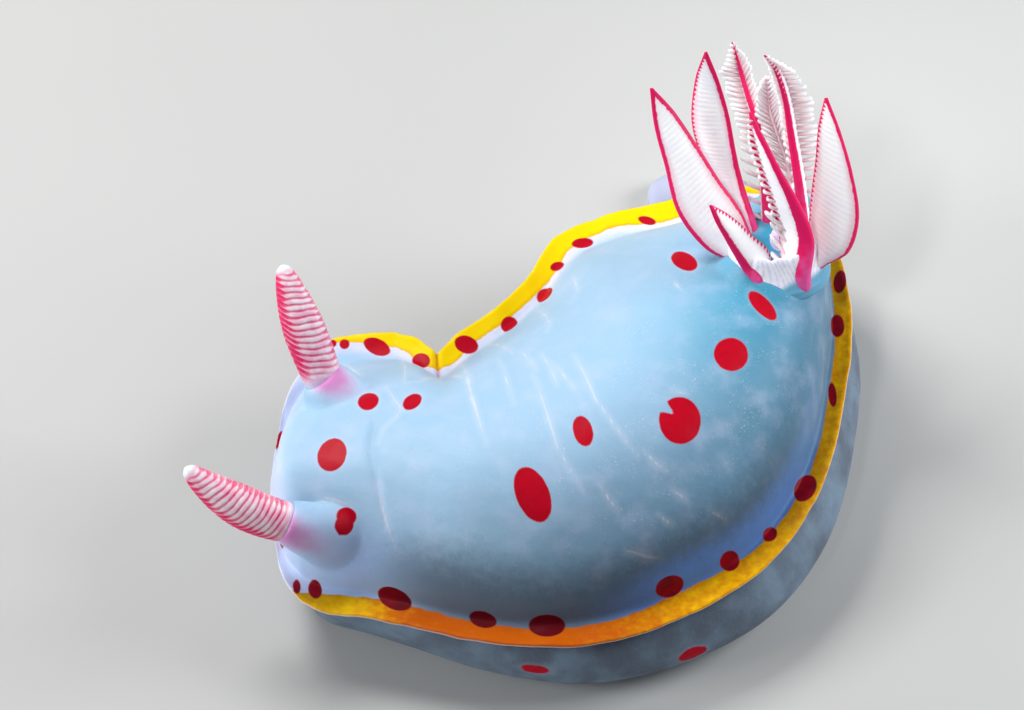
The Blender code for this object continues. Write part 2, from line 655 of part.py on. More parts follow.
def make_gill(name, angle, reach, bow):
    """One plume: a three-edged stem bowed outward, its keel outside, tapering to the tip."""
    foot, axis, right, back = gill_frame()
    turn = math.radians(angle)
    outward = right * math.cos(turn) + back * math.sin(turn)
    root = foot + outward * GILL_RING_RADIUS - axis * GILL_ROOT_DROP
    tip = foot + np.array(reach)
    length = np.linalg.norm(tip - root)
    low = root + axis * max(0.3 * length, GILL_RISE) + outward * (GILL_BOWS[0] * bow)
    high = root + (tip - root) * 0.55 + outward * (GILL_BOWS[1] * bow)
    shares = np.linspace(0.0, 1.0, GILL_RINGS)
    t = shares[:, None]
    centres = (1 - t) ** 3 * root + 3 * t * (1 - t) ** 2 * low + 3 * t**2 * (1 - t) * high + t**3 * tip
    lines = np.gradient(centres, axis=0)
    lines /= np.linalg.norm(lines, axis=1, keepdims=True)
    keel = outward - lines * (lines @ outward)[:, None]
    keel /= np.linalg.norm(keel, axis=1, keepdims=True)
    side = np.cross(lines, keel)
    half = through(GILL_SHARES, GILL_HALF_WIDTHS, shares)[:, None]
    deep = through(GILL_SHARES, GILL_DEPTHS, shares)[:, None]
    rings = np.stack([centres + side * half * a + keel * deep * b for a, b in GILL_SECTION], axis=1)
    stem = ball_mesh(name, rings, centres[0], centres[-1])
    leaflets = []
    hand = -1.0
    count = int(2.0 * (LEAFLET_SPAN[1] - LEAFLET_SPAN[0]) * length / LEAFLET_SPACING)
    for at in np.linspace(*LEAFLET_SPAN, count):
        ring = at * (GILL_RINGS - 1)
        middle, line, out, over = (
            np.array([np.interp(ring, np.arange(GILL_RINGS), column) for column in rows.T])
            for rows in (centres, lines, keel, side)
        )
        wide = float(through(GILL_SHARES, GILL_HALF_WIDTHS, at))
        low = middle - out * (0.2 * float(through(GILL_SHARES, GILL_DEPTHS, at)))
        away = unit(over * (hand * LEAFLET_SPREAD[0]) + out * LEAFLET_SPREAD[1] + line * LEAFLET_SPREAD[2])
        start = low + over * (hand * (wide - LEAFLET_SINK))
        leaflets.append(leaflet(start, away, line, wide / max(GILL_HALF_WIDTHS)))
        hand = -hand
    apply_boolean(stem, leaflets, "UNION")
    finish(largest(stem, name), GILL_WHITE, 0.35, 50.0)


def leaflet(start, away, line, size):
    """One leaflet: a small plate from inside the stem outward, tapering to its edge."""
    tall = unit(np.cross(away, line))
    thick = unit(np.cross(tall, away))
    reach = LEAFLET_SINK + LEAFLET_REACH * size
    rings = []
    for share, taper in LEAFLET_TAPER:
        middle = start + away * (reach * share)
        half = thick * (0.5 * LEAFLET_THICK * taper)
        edge = tall * (0.5 * LEAFLET_TALL * size * taper)
        rings += [middle + half + edge, middle + half - edge, middle - half - edge, middle - half + edge]
    faces = [(0, 1, 2, 3), (11, 10, 9, 8)]
    for ring in (0, 4):
        for corner in range(4):
            after = (corner + 1) % 4
            faces.append((ring + corner, ring + 4 + corner, ring + 4 + after, ring + after))
    return closed_mesh("leaflet", np.array(rings) * MM, faces)


def make_papilla():
    """Vent papilla in the middle of the gills."""
    foot, axis, _, _ = gill_frame()
    base = foot - axis * (VENT_POCKET_DEPTH - GAP)
    finish(frustum("vent_papilla", base, axis, PAPILLA_RADII, PAPILLA_HEIGHT, 14), STALK_LILAC, 0.4)


for leftover in list(bpy.data.objects):
    bpy.data.objects.remove(leftover)
slug = bpy.data.collections.new("sea_slug")
cutters = bpy.data.collections.new("cutters")
bpy.context.scene.collection.children.link(slug)
bpy.context.scene.collection.children.link(cutters)

make_mantle()
make_foot()
for body_side in RHINOPHORE_PLACES:
    make_rhinophore(body_side)
for gill in GILLS:
    make_gill(*gill)
make_papilla()
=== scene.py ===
import math

import bpy
import numpy as np
from mathutils import Matrix, Vector


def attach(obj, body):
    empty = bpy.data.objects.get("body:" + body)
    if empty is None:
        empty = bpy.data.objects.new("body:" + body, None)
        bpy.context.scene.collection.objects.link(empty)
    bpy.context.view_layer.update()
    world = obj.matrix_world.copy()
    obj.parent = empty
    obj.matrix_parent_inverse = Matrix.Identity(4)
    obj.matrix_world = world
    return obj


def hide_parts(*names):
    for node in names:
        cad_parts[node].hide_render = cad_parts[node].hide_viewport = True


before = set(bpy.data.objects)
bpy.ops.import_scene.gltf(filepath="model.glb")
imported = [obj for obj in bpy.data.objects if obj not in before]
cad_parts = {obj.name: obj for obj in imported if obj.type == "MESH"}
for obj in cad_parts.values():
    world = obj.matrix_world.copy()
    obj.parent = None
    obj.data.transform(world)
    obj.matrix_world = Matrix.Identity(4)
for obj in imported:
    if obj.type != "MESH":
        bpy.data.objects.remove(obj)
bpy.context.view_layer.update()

MM = 0.001


# Camera, floor and light. The camera looks down from the animal's left side, and the
# floor is a pale matt sheet that the foot rests on. Soft lamps stand above and behind, and a
# weak spot lamp is turned on the gills.
CAMERA_PLACE = (-2.9, -120.0, 162.9)
CAMERA_TILT = 38.0
CAMERA_LENS = 140.0
CAMERA_FILM = 36.0
FLOOR_SIZE = 900.0
FLOOR_GREY = (0.56, 0.56, 0.55)
FLOOR_MOTTLE = 0.96
FLOOR_ROUGHNESS = 0.8
SKY_GREY = (0.8, 0.84, 0.9)
SKY_STRENGTH = 0.18
LAMPS = (
    ("key", (-62.0, 60.0, 125.0), 50.0, 0.155, (1.0, 0.99, 0.97)),
    ("fill", (-140.0, -40.0, 60.0), 60.0, 0.13, (0.95, 0.98, 1.0)),
    ("rim", (110.0, 20.0, 65.0), 60.0, 0.125, (0.95, 0.98, 1.0)),
)
SPOT_LAMP = (-35.0, -70.0, 130.0)
SPOT_TARGET = (9.0, 8.0, 14.5)
SPOT_CONE = 11.0
SPOT_BLEND = 0.6
SPOT_SOFTNESS = 12.0
SPOT_POWER = 0.29
BODY_MIDDLE = (-1.0, 1.0, 6.0)

camera_data = bpy.data.cameras.new("camera")
camera_data.lens = CAMERA_LENS
camera_data.sensor_width = CAMERA_FILM
camera_data.clip_start = 0.005
camera_data.clip_end = 10.0
camera = bpy.data.objects.new("camera", camera_data)
camera.location = Vector(CAMERA_PLACE) * MM
camera.rotation_euler = (math.radians(CAMERA_TILT), 0.0, 0.0)
bpy.context.scene.collection.objects.link(camera)
bpy.context.scene.camera = camera


def add_lamp(name, kind, place, target, power):
    """Lamp at a place, turned to face a target, both in millimetres."""
    lamp_data = bpy.data.lights.new(name, kind)
    lamp_data.energy = power
    lamp = bpy.data.objects.new(name, lamp_data)
    lamp.location = Vector(place) * MM
    facing = lamp.location - Vector(target) * MM
    lamp.rotation_euler = facing.to_track_quat("Z", "Y").to_euler()
    bpy.context.scene.collection.objects.link(lamp)
    return lamp_data


for name, place, size, power, colour in LAMPS:
    lamp_data = add_lamp(name, "AREA", place, BODY_MIDDLE, power)
    lamp_data.size = size * MM
    lamp_data.color = colour

lamp_data = add_lamp("gill_spot", "SPOT", SPOT_LAMP, SPOT_TARGET, SPOT_POWER)
lamp_data.spot_size = math.radians(SPOT_CONE)
lamp_data.spot_blend = SPOT_BLEND
lamp_data.shadow_soft_size = SPOT_SOFTNESS * MM

world = bpy.data.worlds.new("studio")
world.use_nodes = True
world.node_tree.nodes["Background"].inputs["Color"].default_value = (*SKY_GREY, 1.0)
world.node_tree.nodes["Background"].inputs["Strength"].default_value = SKY_STRENGTH
bpy.context.scene.world = world
bpy.context.scene.view_settings.view_transform = "Standard"


class Number:
    """One shader socket. Sums, differences and products on it add their own Math nodes."""

    def __init__(self, paint, socket):
        self.paint = paint
        self.socket = socket

    def math(self, operation, *values):
        sockets = {index: value for index, value in enumerate(values)}
        return self.paint.add("Math", 0, {"operation": operation}, sockets)

    def __add__(self, other):
        return self.math("ADD", self, other)

    def __sub__(self, other):
        return self.math("SUBTRACT", self, other)

    def __mul__(self, other):
        return self.math("MULTIPLY", self, other)

    def __rsub__(self, other):
        return self.math("SUBTRACT", other, self)

    __radd__ = __add__
    __rmul__ = __mul__

    def least(self, other):
        return self.math("MINIMUM", self, other)

    def part(self):
        """What is left over a whole number."""
        return self.math("FRACT", self)

    def size(self):
        """The number without its sign."""
        return self.math("ABSOLUTE", self)

    def rise(self, low, high, start=0.0, end=1.0):
        """0 below low, 1 above high, and a smooth step between them."""
        values = {0: self, 1: low, 2: high, 3: start, 4: end}
        return self.paint.add("MapRange", 0, {"interpolation_type": "SMOOTHSTEP"}, values)

    def fall(self, low, high):
        """1 below low, 0 above high, and a smooth step between them."""
        return self.rise(low, high, 1.0, 0.0)


class Paint:
    """A material and the nodes added to it. Lengths in its patterns are millimetres."""

    def __init__(self, name):
        self.material = bpy.data.materials.new(name)
        self.material.use_nodes = True
        self.tree = self.material.node_tree
        self.surface = self.tree.nodes["Principled BSDF"]
        coordinates = self.add("TexCoord", "Object")
        self.place = self.add("VectorMath", 0, {"operation": "SCALE"}, {0: coordinates, "Scale": 1.0 / MM})

    def add(self, kind, output, settings=None, values=None):
        """New node: its settings first, then what its sockets hold or are linked to."""
        node = self.tree.nodes.new("ShaderNode" + kind)
        for key, value in (settings or {}).items():
            setattr(node, key, value)
        for key, value in (values or {}).items():
            self.put(node.inputs[key], value)
        return Number(self, node.outputs[output])

    def put(self, socket, value):
        """Links a number or colour to a socket, or sets it where it is a constant."""
        if isinstance(value, Number):
            self.tree.links.new(value.socket, socket)
        elif isinstance(value, tuple) and len(value) == 3 and socket.type == "RGBA":
            socket.default_value = (*value, 1.0)
        else:
            socket.default_value = value

    def field(self, name):
        """Number stored at the mesh's points."""
        return self.add("Attribute", "Fac", {"attribute_name": name})

    def noise(self, scale, detail=2.0, rough=0.5):
        """Noise from 0 to 1, with this many bumps to the millimetre."""
        values = {"Vector": self.place, "Scale": scale, "Detail": detail, "Roughness": rough}
        return self.add("TexNoise", 0, None, values)

    def mix(self, factor, first, second):
        """Colour that goes from the first to the second as the factor goes from 0 to 1."""
        return self.add("Mix", 2, {"data_type": "RGBA"}, {0: factor, 6: first, 7: second})

    def finish(self, colour, roughness, bumps=(), constants=None):
        """Sets the surface: colour, roughness, one bump for each (height, distance)."""
        self.put(self.surface.inputs["Base Color"], colour)
        self.put(self.surface.inputs["Roughness"], roughness)
        normal = None
        for height, distance in bumps:
            values = {"Height": height, "Distance": distance * MM, "Strength": 1.0}
            if normal:
                values["Normal"] = normal
            normal = self.add("Bump", 0, None, values)
        if normal:
            self.put(self.surface.inputs["Normal"], normal)
        for key, value in (constants or {}).items():
            self.surface.inputs[key].default_value = value
        return self.material


floor_paint = Paint("floor_matt")
grain = floor_paint.noise(0.05, 3.0)
floor_colour = floor_paint.mix(grain, tuple(FLOOR_MOTTLE * level for level in FLOOR_GREY), FLOOR_GREY)
floor_paint.finish(floor_colour, FLOOR_ROUGHNESS)
half = 0.5 * FLOOR_SIZE * MM
corners = [(-half, -half, 0), (half, -half, 0), (half, half, 0), (-half, half, 0)]
floor_mesh = bpy.data.meshes.new("floor")
floor_mesh.from_pydata(corners, [], [(0, 1, 2, 3)])
floor_mesh.materials.append(floor_paint.material)
floor = bpy.data.objects.new("floor", floor_mesh)
bpy.context.scene.collection.objects.link(floor)


# Mantle: the broad shield of soft flesh that grows from the back, with a thin skirt round its
# edge. It is one closed skin. Its outline from above is the pair of rims, joined by lines
# across the body.

# Outline from above, in pairs of points from the front to the rear.
RIGHT_RIM = (
    (-14.8, -4.5), (-14.6, -1.6), (-14.0, 1.7), (-12.4, 4.4), (-9.5, 5.0), (-7.8, 4.7),
    (-6.7, 3.85), (-5.75, 4.85), (-3.8, 6.4), (-2.1, 8.4), (-0.8, 10.8), (1.9, 12.2),
    (4.6, 12.9), (7.4, 13.6), (9.6, 13.8), (11.3, 13.0),
)
LEFT_RIM = (
    (-14.8, -4.5), (-14.5, -7.2), (-13.9, -9.8), (-12.4, -11.4), (-9.6, -12.0), (-7.0, -12.7),
    (-4.8, -13.3), (-2.0, -13.7), (1.2, -13.6), (5.0, -12.4), (9.3, -9.6), (12.3, -5.0),
    (13.8, 0.8), (14.3, 6.0), (13.4, 10.6), (11.3, 13.0),
)

# Plane of the rim, thickness of the skirt and of its rounded edge, and the curled lip.
RIM_HEIGHT = 5.0
RIM_SLOPE_X = 0.028
RIM_SLOPE_Y = 0.052
RIM_THICK = 0.95
EDGE_THICK = 0.5
EDGE_ROUND = 0.3
LIP_WIDTH = 1.6
LIP_CURL = 0.35
LIP_SHARE = 0.35

# Back, by the share of the body's length: height, place across, and the curve to each side.
BACK_SHARES = (0.0, 0.05, 0.13, 0.26, 0.42, 0.58, 0.72, 0.84, 0.93, 1.0)
BACK_HEIGHTS = (4.4, 5.9, 7.4, 8.9, 10.1, 10.7, 10.6, 9.9, 8.4, 6.0)
BACK_ACROSS = (0.44, 0.44, 0.44, 0.46, 0.47, 0.46, 0.44, 0.44, 0.48, 0.5)
BACK_SHAPE_RIGHT = (1.9, 1.0)
BACK_POWERS_LEFT = (2.5, 2.5, 2.5, 2.5, 2.5, 2.7, 3.0, 3.3, 3.0, 2.5)
BACK_SOFTEN_LEFT = (0.85, 0.85, 0.85, 0.85, 0.85, 0.8, 0.72, 0.68, 0.75, 0.85)

MANTLE_ROWS = 372
MANTLE_TOP_COLUMNS = 214
MANTLE_UNDER_COLUMNS = 40
# Rows and columns stand closer round the sleeves: where, how far about, and how much.
CLOSER_ROWS = ((0.2,), 0.06, 1.6)
CLOSER_COLUMNS = ((0.18, 0.67), 0.07, 1.0)

RIM_WAVE = 0.07
SMOOTH_PASSES = 5

# Places on the mantle: share of its length and share across. The sleeves are drawn out to the
# clubs' roots, with a magenta glow: its shift from the sleeve's middle and its radius.
VENT_PLACE = (0.79, 0.385)
VENT_LINE = (-0.08, 0.36, 0.93)
RHINOPHORE_PLACES = {"left": (0.195, 0.178), "right": (0.2, 0.67)}
CLUB_ROOTS = {"left": (-13.55, -8.6, 7.2), "right": (-12.13, -0.47, 7.83)}
SLEEVE_RADII = (0.95, 1.8)
SLEEVE_LAP = 0.38
GLOWS = {"left": ((0.35, -0.5, -0.05), 1.5), "right": ((0.5, -0.5, 0.0), 1.6)}
SLEEVE_DIP = 0.3
COLLAR_RADII = (2.5, 3.5)
COLLAR_HEIGHT = 0.35
EDGE_RIPPLE = 0.09
BODY_LENGTH = 38.0
FAR = 9.0

# Furrows in plan: soft creases behind the head, and the sharp fold at the notch.
HEAD_CREASES = (
    ((-9.0, -8.6), (-9.4, -7.0), (-9.7, -5.2), (-9.6, -3.4)),
    ((-6.6, 2.3), (-7.4, 0.2), (-8.2, -0.5)),
)
CREASE_DEPTH = 0.12
CREASE_WIDTH = 0.3
NOTCH_FOLD = ((-6.7, 4.6), (-6.68, 3.3), (-6.57, 2.4))
FOLD_DEPTH = 0.3
FOLD_WIDTH = 0.12

# Red spots: share of the body's length, share across it, half length and half width, and
# the turn in degrees of the long way, as seen from above the left side. Round spots that
# share a place make the uneven ones. Then come the spots that are drawn flat on the skin.
SPOTS = (
    (0.203, 0.386, 0.84, 0.7, 75), (0.238, 0.581, 0.56, 0.51, 90), (0.287, 0.586, 0.58, 0.37, 50),
    (0.216, 0.2, 0.55, 0.5, 60), (0.219, 0.218, 0.5, 0.44, 0), (0.403, 0.282, 1.38, 0.79, 112),
    (0.469, 0.386, 0.77, 0.46, 105), (0.566, 0.294, 1.15, 1.01, 90), (0.649, 0.329, 0.85, 0.83, 60),
    (0.682, 0.622, 0.84, 0.47, 138), (0.717, 0.345, 0.93, 0.39, 132), (0.205, 0.729, 0.33, 0.24, 90),
    (0.167, 0.205, 0.37, 0.18, 98), (0.241, 0.95, 0.71, 0.4, 155), (0.302, 0.928, 0.45, 0.4, 0),
    (0.391, 0.95, 0.61, 0.45, 160), (0.455, 0.931, 0.46, 0.43, 90), (0.525, 0.914, 0.48, 0.46, 80),
    (0.576, 0.939, 0.36, 0.23, 20), (0.633, 0.948, 0.54, 0.26, 5), (0.745, 0.942, 0.46, 0.21, 165),
    (0.207, 0.966, 0.25, 0.25, 90), (0.194, 0.978, 0.2, 0.2, 90), (0.079, 0.898, 0.5, 0.13, 75),
    (0.108, 0.163, 0.39, 0.11, 100), (0.152, 0.046, 0.36, 0.18, 95), (0.182, 0.08, 0.48, 0.32, 105),
    (0.266, 0.092, 0.87, 0.51, 155), (0.345, 0.086, 0.67, 0.39, 165), (0.399, 0.074, 0.87, 0.53, 0),
    (0.517, 0.08, 0.72, 0.53, 20), (0.575, 0.072, 0.51, 0.51, 0), (0.621, 0.057, 0.39, 0.32, 45),
    (0.677, 0.049, 0.74, 0.49, 60), (0.77, 0.06, 0.65, 0.2, 92), (0.839, 0.096, 0.61, 0.35, 90),
    (0.89, 0.069, 0.61, 0.31, 80),
)
FLAT_SPOTS = ((0.94, 0.5, 0.6, 0.45, 10), (0.88, 0.8, 0.5, 0.35, 40), (0.975, 0.75, 0.35, 0.25, 0))

# One spot has a notch: its number, the notch's point in shares of the oval, and the turn of
# its line and its half opening in degrees.
NOTCH_SPOT = 7
NOTCH_POINT = (0.23, 0.22)
NOTCH_LINE = 57.0
NOTCH_OPENING = 21.0

# How deep a spot reaches, in half lengths, and the right, up and away in which its oval is
# seen from above the left side.
SPOT_DEPTH = 1.7
SEEN = np.array([[1.0, 0.0, 0.0], [0.0, 0.788, 0.616], [0.0, 0.616, -0.788]])

# Fine pale lines under the skin, in plan, from their inner ends outward.
PALE_LINES = (
    ((-5.3, 1.1), (-5.0, -1.6), (-4.7, -3.0), (-4.5, -4.2), (-4.1, -5.9)),
    ((-3.6, 1.0), (-3.3, -0.5), (-3.1, -2.0), (-2.8, -3.5)),
    ((-2.5, 1.2), (-2.0, -0.1), (-1.7, -1.2)),
    ((-1.9, -1.3), (-1.6, -2.5), (-1.4, -3.6), (-1.0, -5.1), (-0.7, -6.2), (-0.3, -7.0), (0.5, -8.2)),
    ((-1.5, 0.3), (-1.0, -1.1), (-0.7, -2.6)), ((-0.7, -1.2), (0.1, -2.9)),
    ((0.1, -0.5), (0.7, -2.2), (1.1, -3.6), (1.9, -4.9), (2.4, -5.7), (3.1, -6.5)),
    ((-1.9, 6.7), (-1.3, 4.6), (-1.0, 3.1), (-1.2, 2.3)), ((-4.2, 4.4), (-3.4, 2.6), (-2.8, 1.1)),
    ((-6.2, 1.9), (-5.2, -0.2)), ((0.2, 7.0), (0.4, 5.3)), ((4.8, -3.1), (5.5, -3.3)),
    ((5.1, 3.8), (5.4, 3.2)), ((3.4, -6.2), (3.9, -6.7), (4.5, -7.0)),
    ((1.3, -7.9), (1.7, -8.4), (2.2, -8.8)), ((4.1, -8.7), (4.8, -8.9)),
    ((6.6, -8.0), (7.4, -8.0)), ((4.8, -7.7), (5.5, -7.9)),
    ((2.5, -10.1), (3.6, -10.1), (4.4, -10.0)),
    ((-9.1, -0.9), (-8.6, -2.2), (-8.3, -2.9), (-8.5, -3.5), (-9.1, -4.1), (-9.4, -5.0)),
    ((-8.4, 3.4), (-8.2, 1.3), (-8.2, -0.5)), ((-5.5, 3.0), (-5.0, -0.4), (-4.9, -2.5), (-4.4, -5.1)),
    ((-6.6, 2.3), (-7.4, -0.4), (-8.2, -0.5)), ((-11.4, 3.2), (-10.3, 0.4)),
    ((-12.3, -7.2), (-11.4, -7.5), (-10.6, -7.8)), ((-9.4, -7.0), (-9.0, -8.4), (-8.4, -9.7)),
)

# Width of the yellow band along each rim, by the share of the body's length.
BAND_SHARES_RIGHT = (0.0, 0.15, 0.2, 0.24, 0.29, 0.34, 0.41, 0.5, 0.6, 0.68, 0.78, 0.86, 0.92, 1.0)
BAND_WIDTHS_RIGHT = (-0.6, -0.2, 0.4, 0.75, 1.0, 1.05, 1.0, 1.0, 1.15, 0.95, 1.2, 0.8, 0.45, 0.3)
BAND_SHARES_LEFT = (0.0, 0.13, 0.16, 0.2, 0.25, 0.35, 0.45, 0.55, 0.6, 0.65, 0.7, 0.78, 0.85, 0.93, 1.0)
BAND_WIDTHS_LEFT = (-0.6, -0.2, 0.4, 1.15, 1.3, 1.2, 1.3, 1.5, 1.25, 1.05, 0.9, 0.9, 0.9, 0.65, 0.4)

SKY_BLUE = (0.37, 0.57, 0.76)
TEAL_BLUE = (0.045, 0.32, 0.48)
DEEP_BLUE = (0.1, 0.24, 0.62)
# Slate blue is painted shade on the lower near side of the back.
PAINTED_SHADE_SLATE = (0.12, 0.24, 0.36)
PALE_LILAC = (0.66, 0.68, 0.9)
EDGE_WHITE = (0.85, 0.8, 0.88)
BAND_YELLOW = (1.0, 0.67, 0.0)
# Orange: the band's own orange edge, and also painted shade where the band lies on the near lip.
BAND_ORANGE_AND_PAINTED_SHADE = (0.52, 0.095, 0.0)
SPOT_RED = (0.5, 0.0, 0.014)
# Dark red: the spots' own darker mottle, and also painted shade on the near lip.
SPOT_MOTTLE_AND_PAINTED_SHADE = (0.11, 0.0, 0.005)
GLOW_MAGENTA = (0.7, 0.16, 0.5)
# Dark grey is painted shade in the curled groove inside the near band.
PAINTED_SHADE_GREY = (0.05, 0.06, 0.085)
# Pale blue: the head's own blue-lavender patch, made paler as painted light where the left sleeve shades it.
HEAD_BLUE_AND_PAINTED_LIGHT = (0.45, 0.6, 1.0)


def through(knots, values, at):
    """Smooth curve through values at knots, its slope at each knot that of its neighbours."""
    knots = np.asarray(knots, float)
    values = np.asarray(values, float)
    flat = values.reshape(len(knots), -1)
    at = np.clip(np.asarray(at, float), knots[0], knots[-1])
    step = np.diff(knots)[:, None]
    slope = np.diff(flat, axis=0) / step
    inner = (slope[1:] * step[:-1] + slope[:-1] * step[1:]) / (step[1:] + step[:-1])
    slopes = np.concatenate([slope[:1], inner, slope[-1:]])
    index = np.clip(np.searchsorted(knots, at, side="right") - 1, 0, len(knots) - 2)
    width = step[index]
    t = (at - knots[index])[..., None] / width
    start = (2 * t**3 - 3 * t**2 + 1) * flat[index] + (t**3 - 2 * t**2 + t) * width * slopes[index]
    end = (3 * t**2 - 2 * t**3) * flat[index + 1] + (t**3 - t**2) * width * slopes[index + 1]
    return (start + end).reshape(at.shape + values.shape[1:])


def unit(vectors):
    """Vectors of length one along the given ones."""
    vectors = np.asarray(vectors, float)
    return vectors / np.linalg.norm(vectors, axis=-1, keepdims=True)


def step(values, low, high):
    """Smooth step: t squared times (3 - 2 t), where t goes from 0 at low to 1 at high."""
    t = np.clip((values - low) / (high - low), 0.0, 1.0)
    return t * t * (3.0 - 2.0 * t)


def rim_shares():
    """Share of the body's length at each pair of rim points, from the mean of both rims."""
    right = np.asarray(RIGHT_RIM)
    left = np.asarray(LEFT_RIM)
    steps = np.linalg.norm(np.diff(right, axis=0), axis=1) + np.linalg.norm(np.diff(left, axis=0), axis=1)
    along = np.concatenate([[0.0], np.cumsum(steps)])
    return along / along[-1]


def rim(share, side):
    """Point of the rim in plan. It runs on round both ends, so that they close smoothly."""
    own, other = (RIGHT_RIM, LEFT_RIM) if side == "right" else (LEFT_RIM, RIGHT_RIM)
    shares = rim_shares()
    knots = np.concatenate([[-shares[1]], shares, [2.0 - shares[-2]]])
    points = np.concatenate([other[1:2], own, other[-2:-1]])
    return through(knots, points, share)


def rim_level(x, y):
    """Height of the mantle's rim over the floor: one sloping plane."""
    return RIM_HEIGHT + RIM_SLOPE_X * x + RIM_SLOPE_Y * y


def mantle_top(share, across):
    """Upper surface: a lip along the rim, curled up a little, then the back, which rises as
    (1 - (1 - way in)^power)^soften on each side of its highest line."""
    share, across = np.broadcast_arrays(np.asarray(share, float), np.asarray(across, float))
    left = rim(share, "left")
    right = rim(share, "right")
    plan = left + (right - left) * across[..., None]
    chord = np.linalg.norm(right - left, axis=-1)
    middle = through(BACK_SHARES, BACK_ACROSS, share)
    on_left = across < middle
    reach = np.where(on_left, middle, 1.0 - middle) * chord
    inward = np.where(on_left, across, 1.0 - across) * chord
    lip = np.minimum(LIP_WIDTH, LIP_SHARE * reach)
    level = rim_level(plan[..., 0], plan[..., 1])
    curl = LIP_CURL * lip / LIP_WIDTH
    on_lip = np.clip(inward / np.maximum(lip, 1e-6), 0.0, 1.0)
    base = level - curl * (1.0 - (1.0 - on_lip) ** 2)
    up = np.clip((inward - lip) / np.maximum(reach - lip, 1e-6), 0.0, 1.0)
    power = np.where(on_left, through(BACK_SHARES, BACK_POWERS_LEFT, share), BACK_SHAPE_RIGHT[0])
    soften = np.where(on_left, through(BACK_SHARES, BACK_SOFTEN_LEFT, share), BACK_SHAPE_RIGHT[1])
    rise = (1.0 - (1.0 - up) ** power) ** soften
    back = through(BACK_SHARES, BACK_HEIGHTS, share)
    height = base + np.maximum(back - base, 0.0) * rise
    return np.concatenate([plan, height[..., None]], axis=-1)


def place_on_mantle(place):
    """Point of the mantle's upper surface, the direction out of it and the one along it."""
    share, across = place
    gap = 0.01
    along = mantle_top(share + gap, across) - mantle_top(share - gap, across)
    over = mantle_top(share, across + gap) - mantle_top(share, across - gap)
    normal = unit(np.cross(along, over))
    return mantle_top(share, across), normal if normal[2] > 0 else -normal, unit(along)


def rim_distance(plan, steps=700, at_once=8000):
    """Distance in plan from each point to the outline, by the nearest piece of its polygon."""
    shares = np.linspace(0.0, 1.0, steps)
    outline = np.concatenate([rim(shares, "left")[:-1], rim(shares, "right")[:0:-1]])
    ends = np.roll(outline, -1, axis=0)
    nearest = np.empty(len(plan))
    for first in range(0, len(plan), at_once):
        block = plan[first : first + at_once]
        away = (block**2).sum(1)[:, None] - 2.0 * block @ outline.T + (outline**2).sum(1)
        corner = away.argmin(axis=1)
        best = np.full(len(block), np.inf)
        for start in ((corner - 1) % len(outline), corner):
            line = ends[start] - outline[start]
            t = ((block - outline[start]) * line).sum(1) / np.maximum((line**2).sum(1), 1e-12)
            foot = outline[start] + line * np.clip(t, 0.0, 1.0)[:, None]
            best = np.minimum(best, np.linalg.norm(block - foot, axis=1))
        nearest[first : first + at_once] = best
    return nearest


def waves(points, length, seed):
    """Soft uneven field from -1 to 1: the mean of nine sine waves in random directions."""
    random = np.random.default_rng(seed)
    lines = unit(random.normal(size=(9, points.shape[-1])))
    phases = random.uniform(0.0, 2.0 * math.pi, 9)
    lengths = length * random.uniform(0.7, 1.4, 9)
    return np.sin(2.0 * math.pi * (points @ lines.T) / lengths + phases).mean(axis=-1) * 1.6


def mesh_piece(name, points, faces, fields, material):
    """Smooth mesh object at the origin from points in millimetres, with fields of numbers."""
    mesh = bpy.data.meshes.new(name)
    mesh.from_pydata((points * MM).tolist(), [], faces)
    mesh.shade_smooth()
    for key, numbers in fields.items():
        layer = mesh.attributes.new(key, "FLOAT", "POINT")
        layer.data.foreach_set("value", np.ascontiguousarray(numbers, np.float32).ravel())
    mesh.materials.append(material)
    piece = bpy.data.objects.new(name, mesh)
    bpy.context.scene.collection.objects.link(piece)
    return piece


def closed_faces(count, sides):
    """Faces of rings of points joined in order, with a fan from a pole at each end."""
    ring = np.arange(count - 1)[:, None] * sides
    side = np.arange(sides)
    after = (side + 1) % sides
    quads = np.stack([ring + side, ring + after, ring + sides + after, ring + sides + side], axis=-1)
    start = count * sides
    last = (count - 1) * sides
    front = np.stack([np.full(sides, start), after, side], axis=-1)
    rear = np.stack([np.full(sides, start + 1), last + side, last + after], axis=-1)
    return quads.reshape(-1, 4).tolist() + front.tolist() + rear.tolist()


def outward(points, faces):
    """The faces turned round where the closed surface that they make is inside out."""
    corners = np.array([face[:3] for face in faces])
    other = np.array([face[:1] + face[-2:] for face in faces if len(face) == 4])
    volume = np.linalg.det(points[corners]).sum()
    if len(other):
        volume += np.linalg.det(points[other]).sum()
    return faces if volume > 0 else [face[::-1] for face in faces]


def with_poles(rings, start=None, end=None):
    """Points of all rings in a row, then one point at each end."""
    start = rings[0].mean(axis=0) if start is None else start
    end = rings[-1].mean(axis=0) if end is None else end
    return np.concatenate([rings.reshape(-1, rings.shape[-1]), [start], [end]])


def ended(numbers, start=0.0, end=0.0):
    """A field's numbers in a row, then those of the two poles."""
    return np.append(np.ravel(numbers), (start, end))


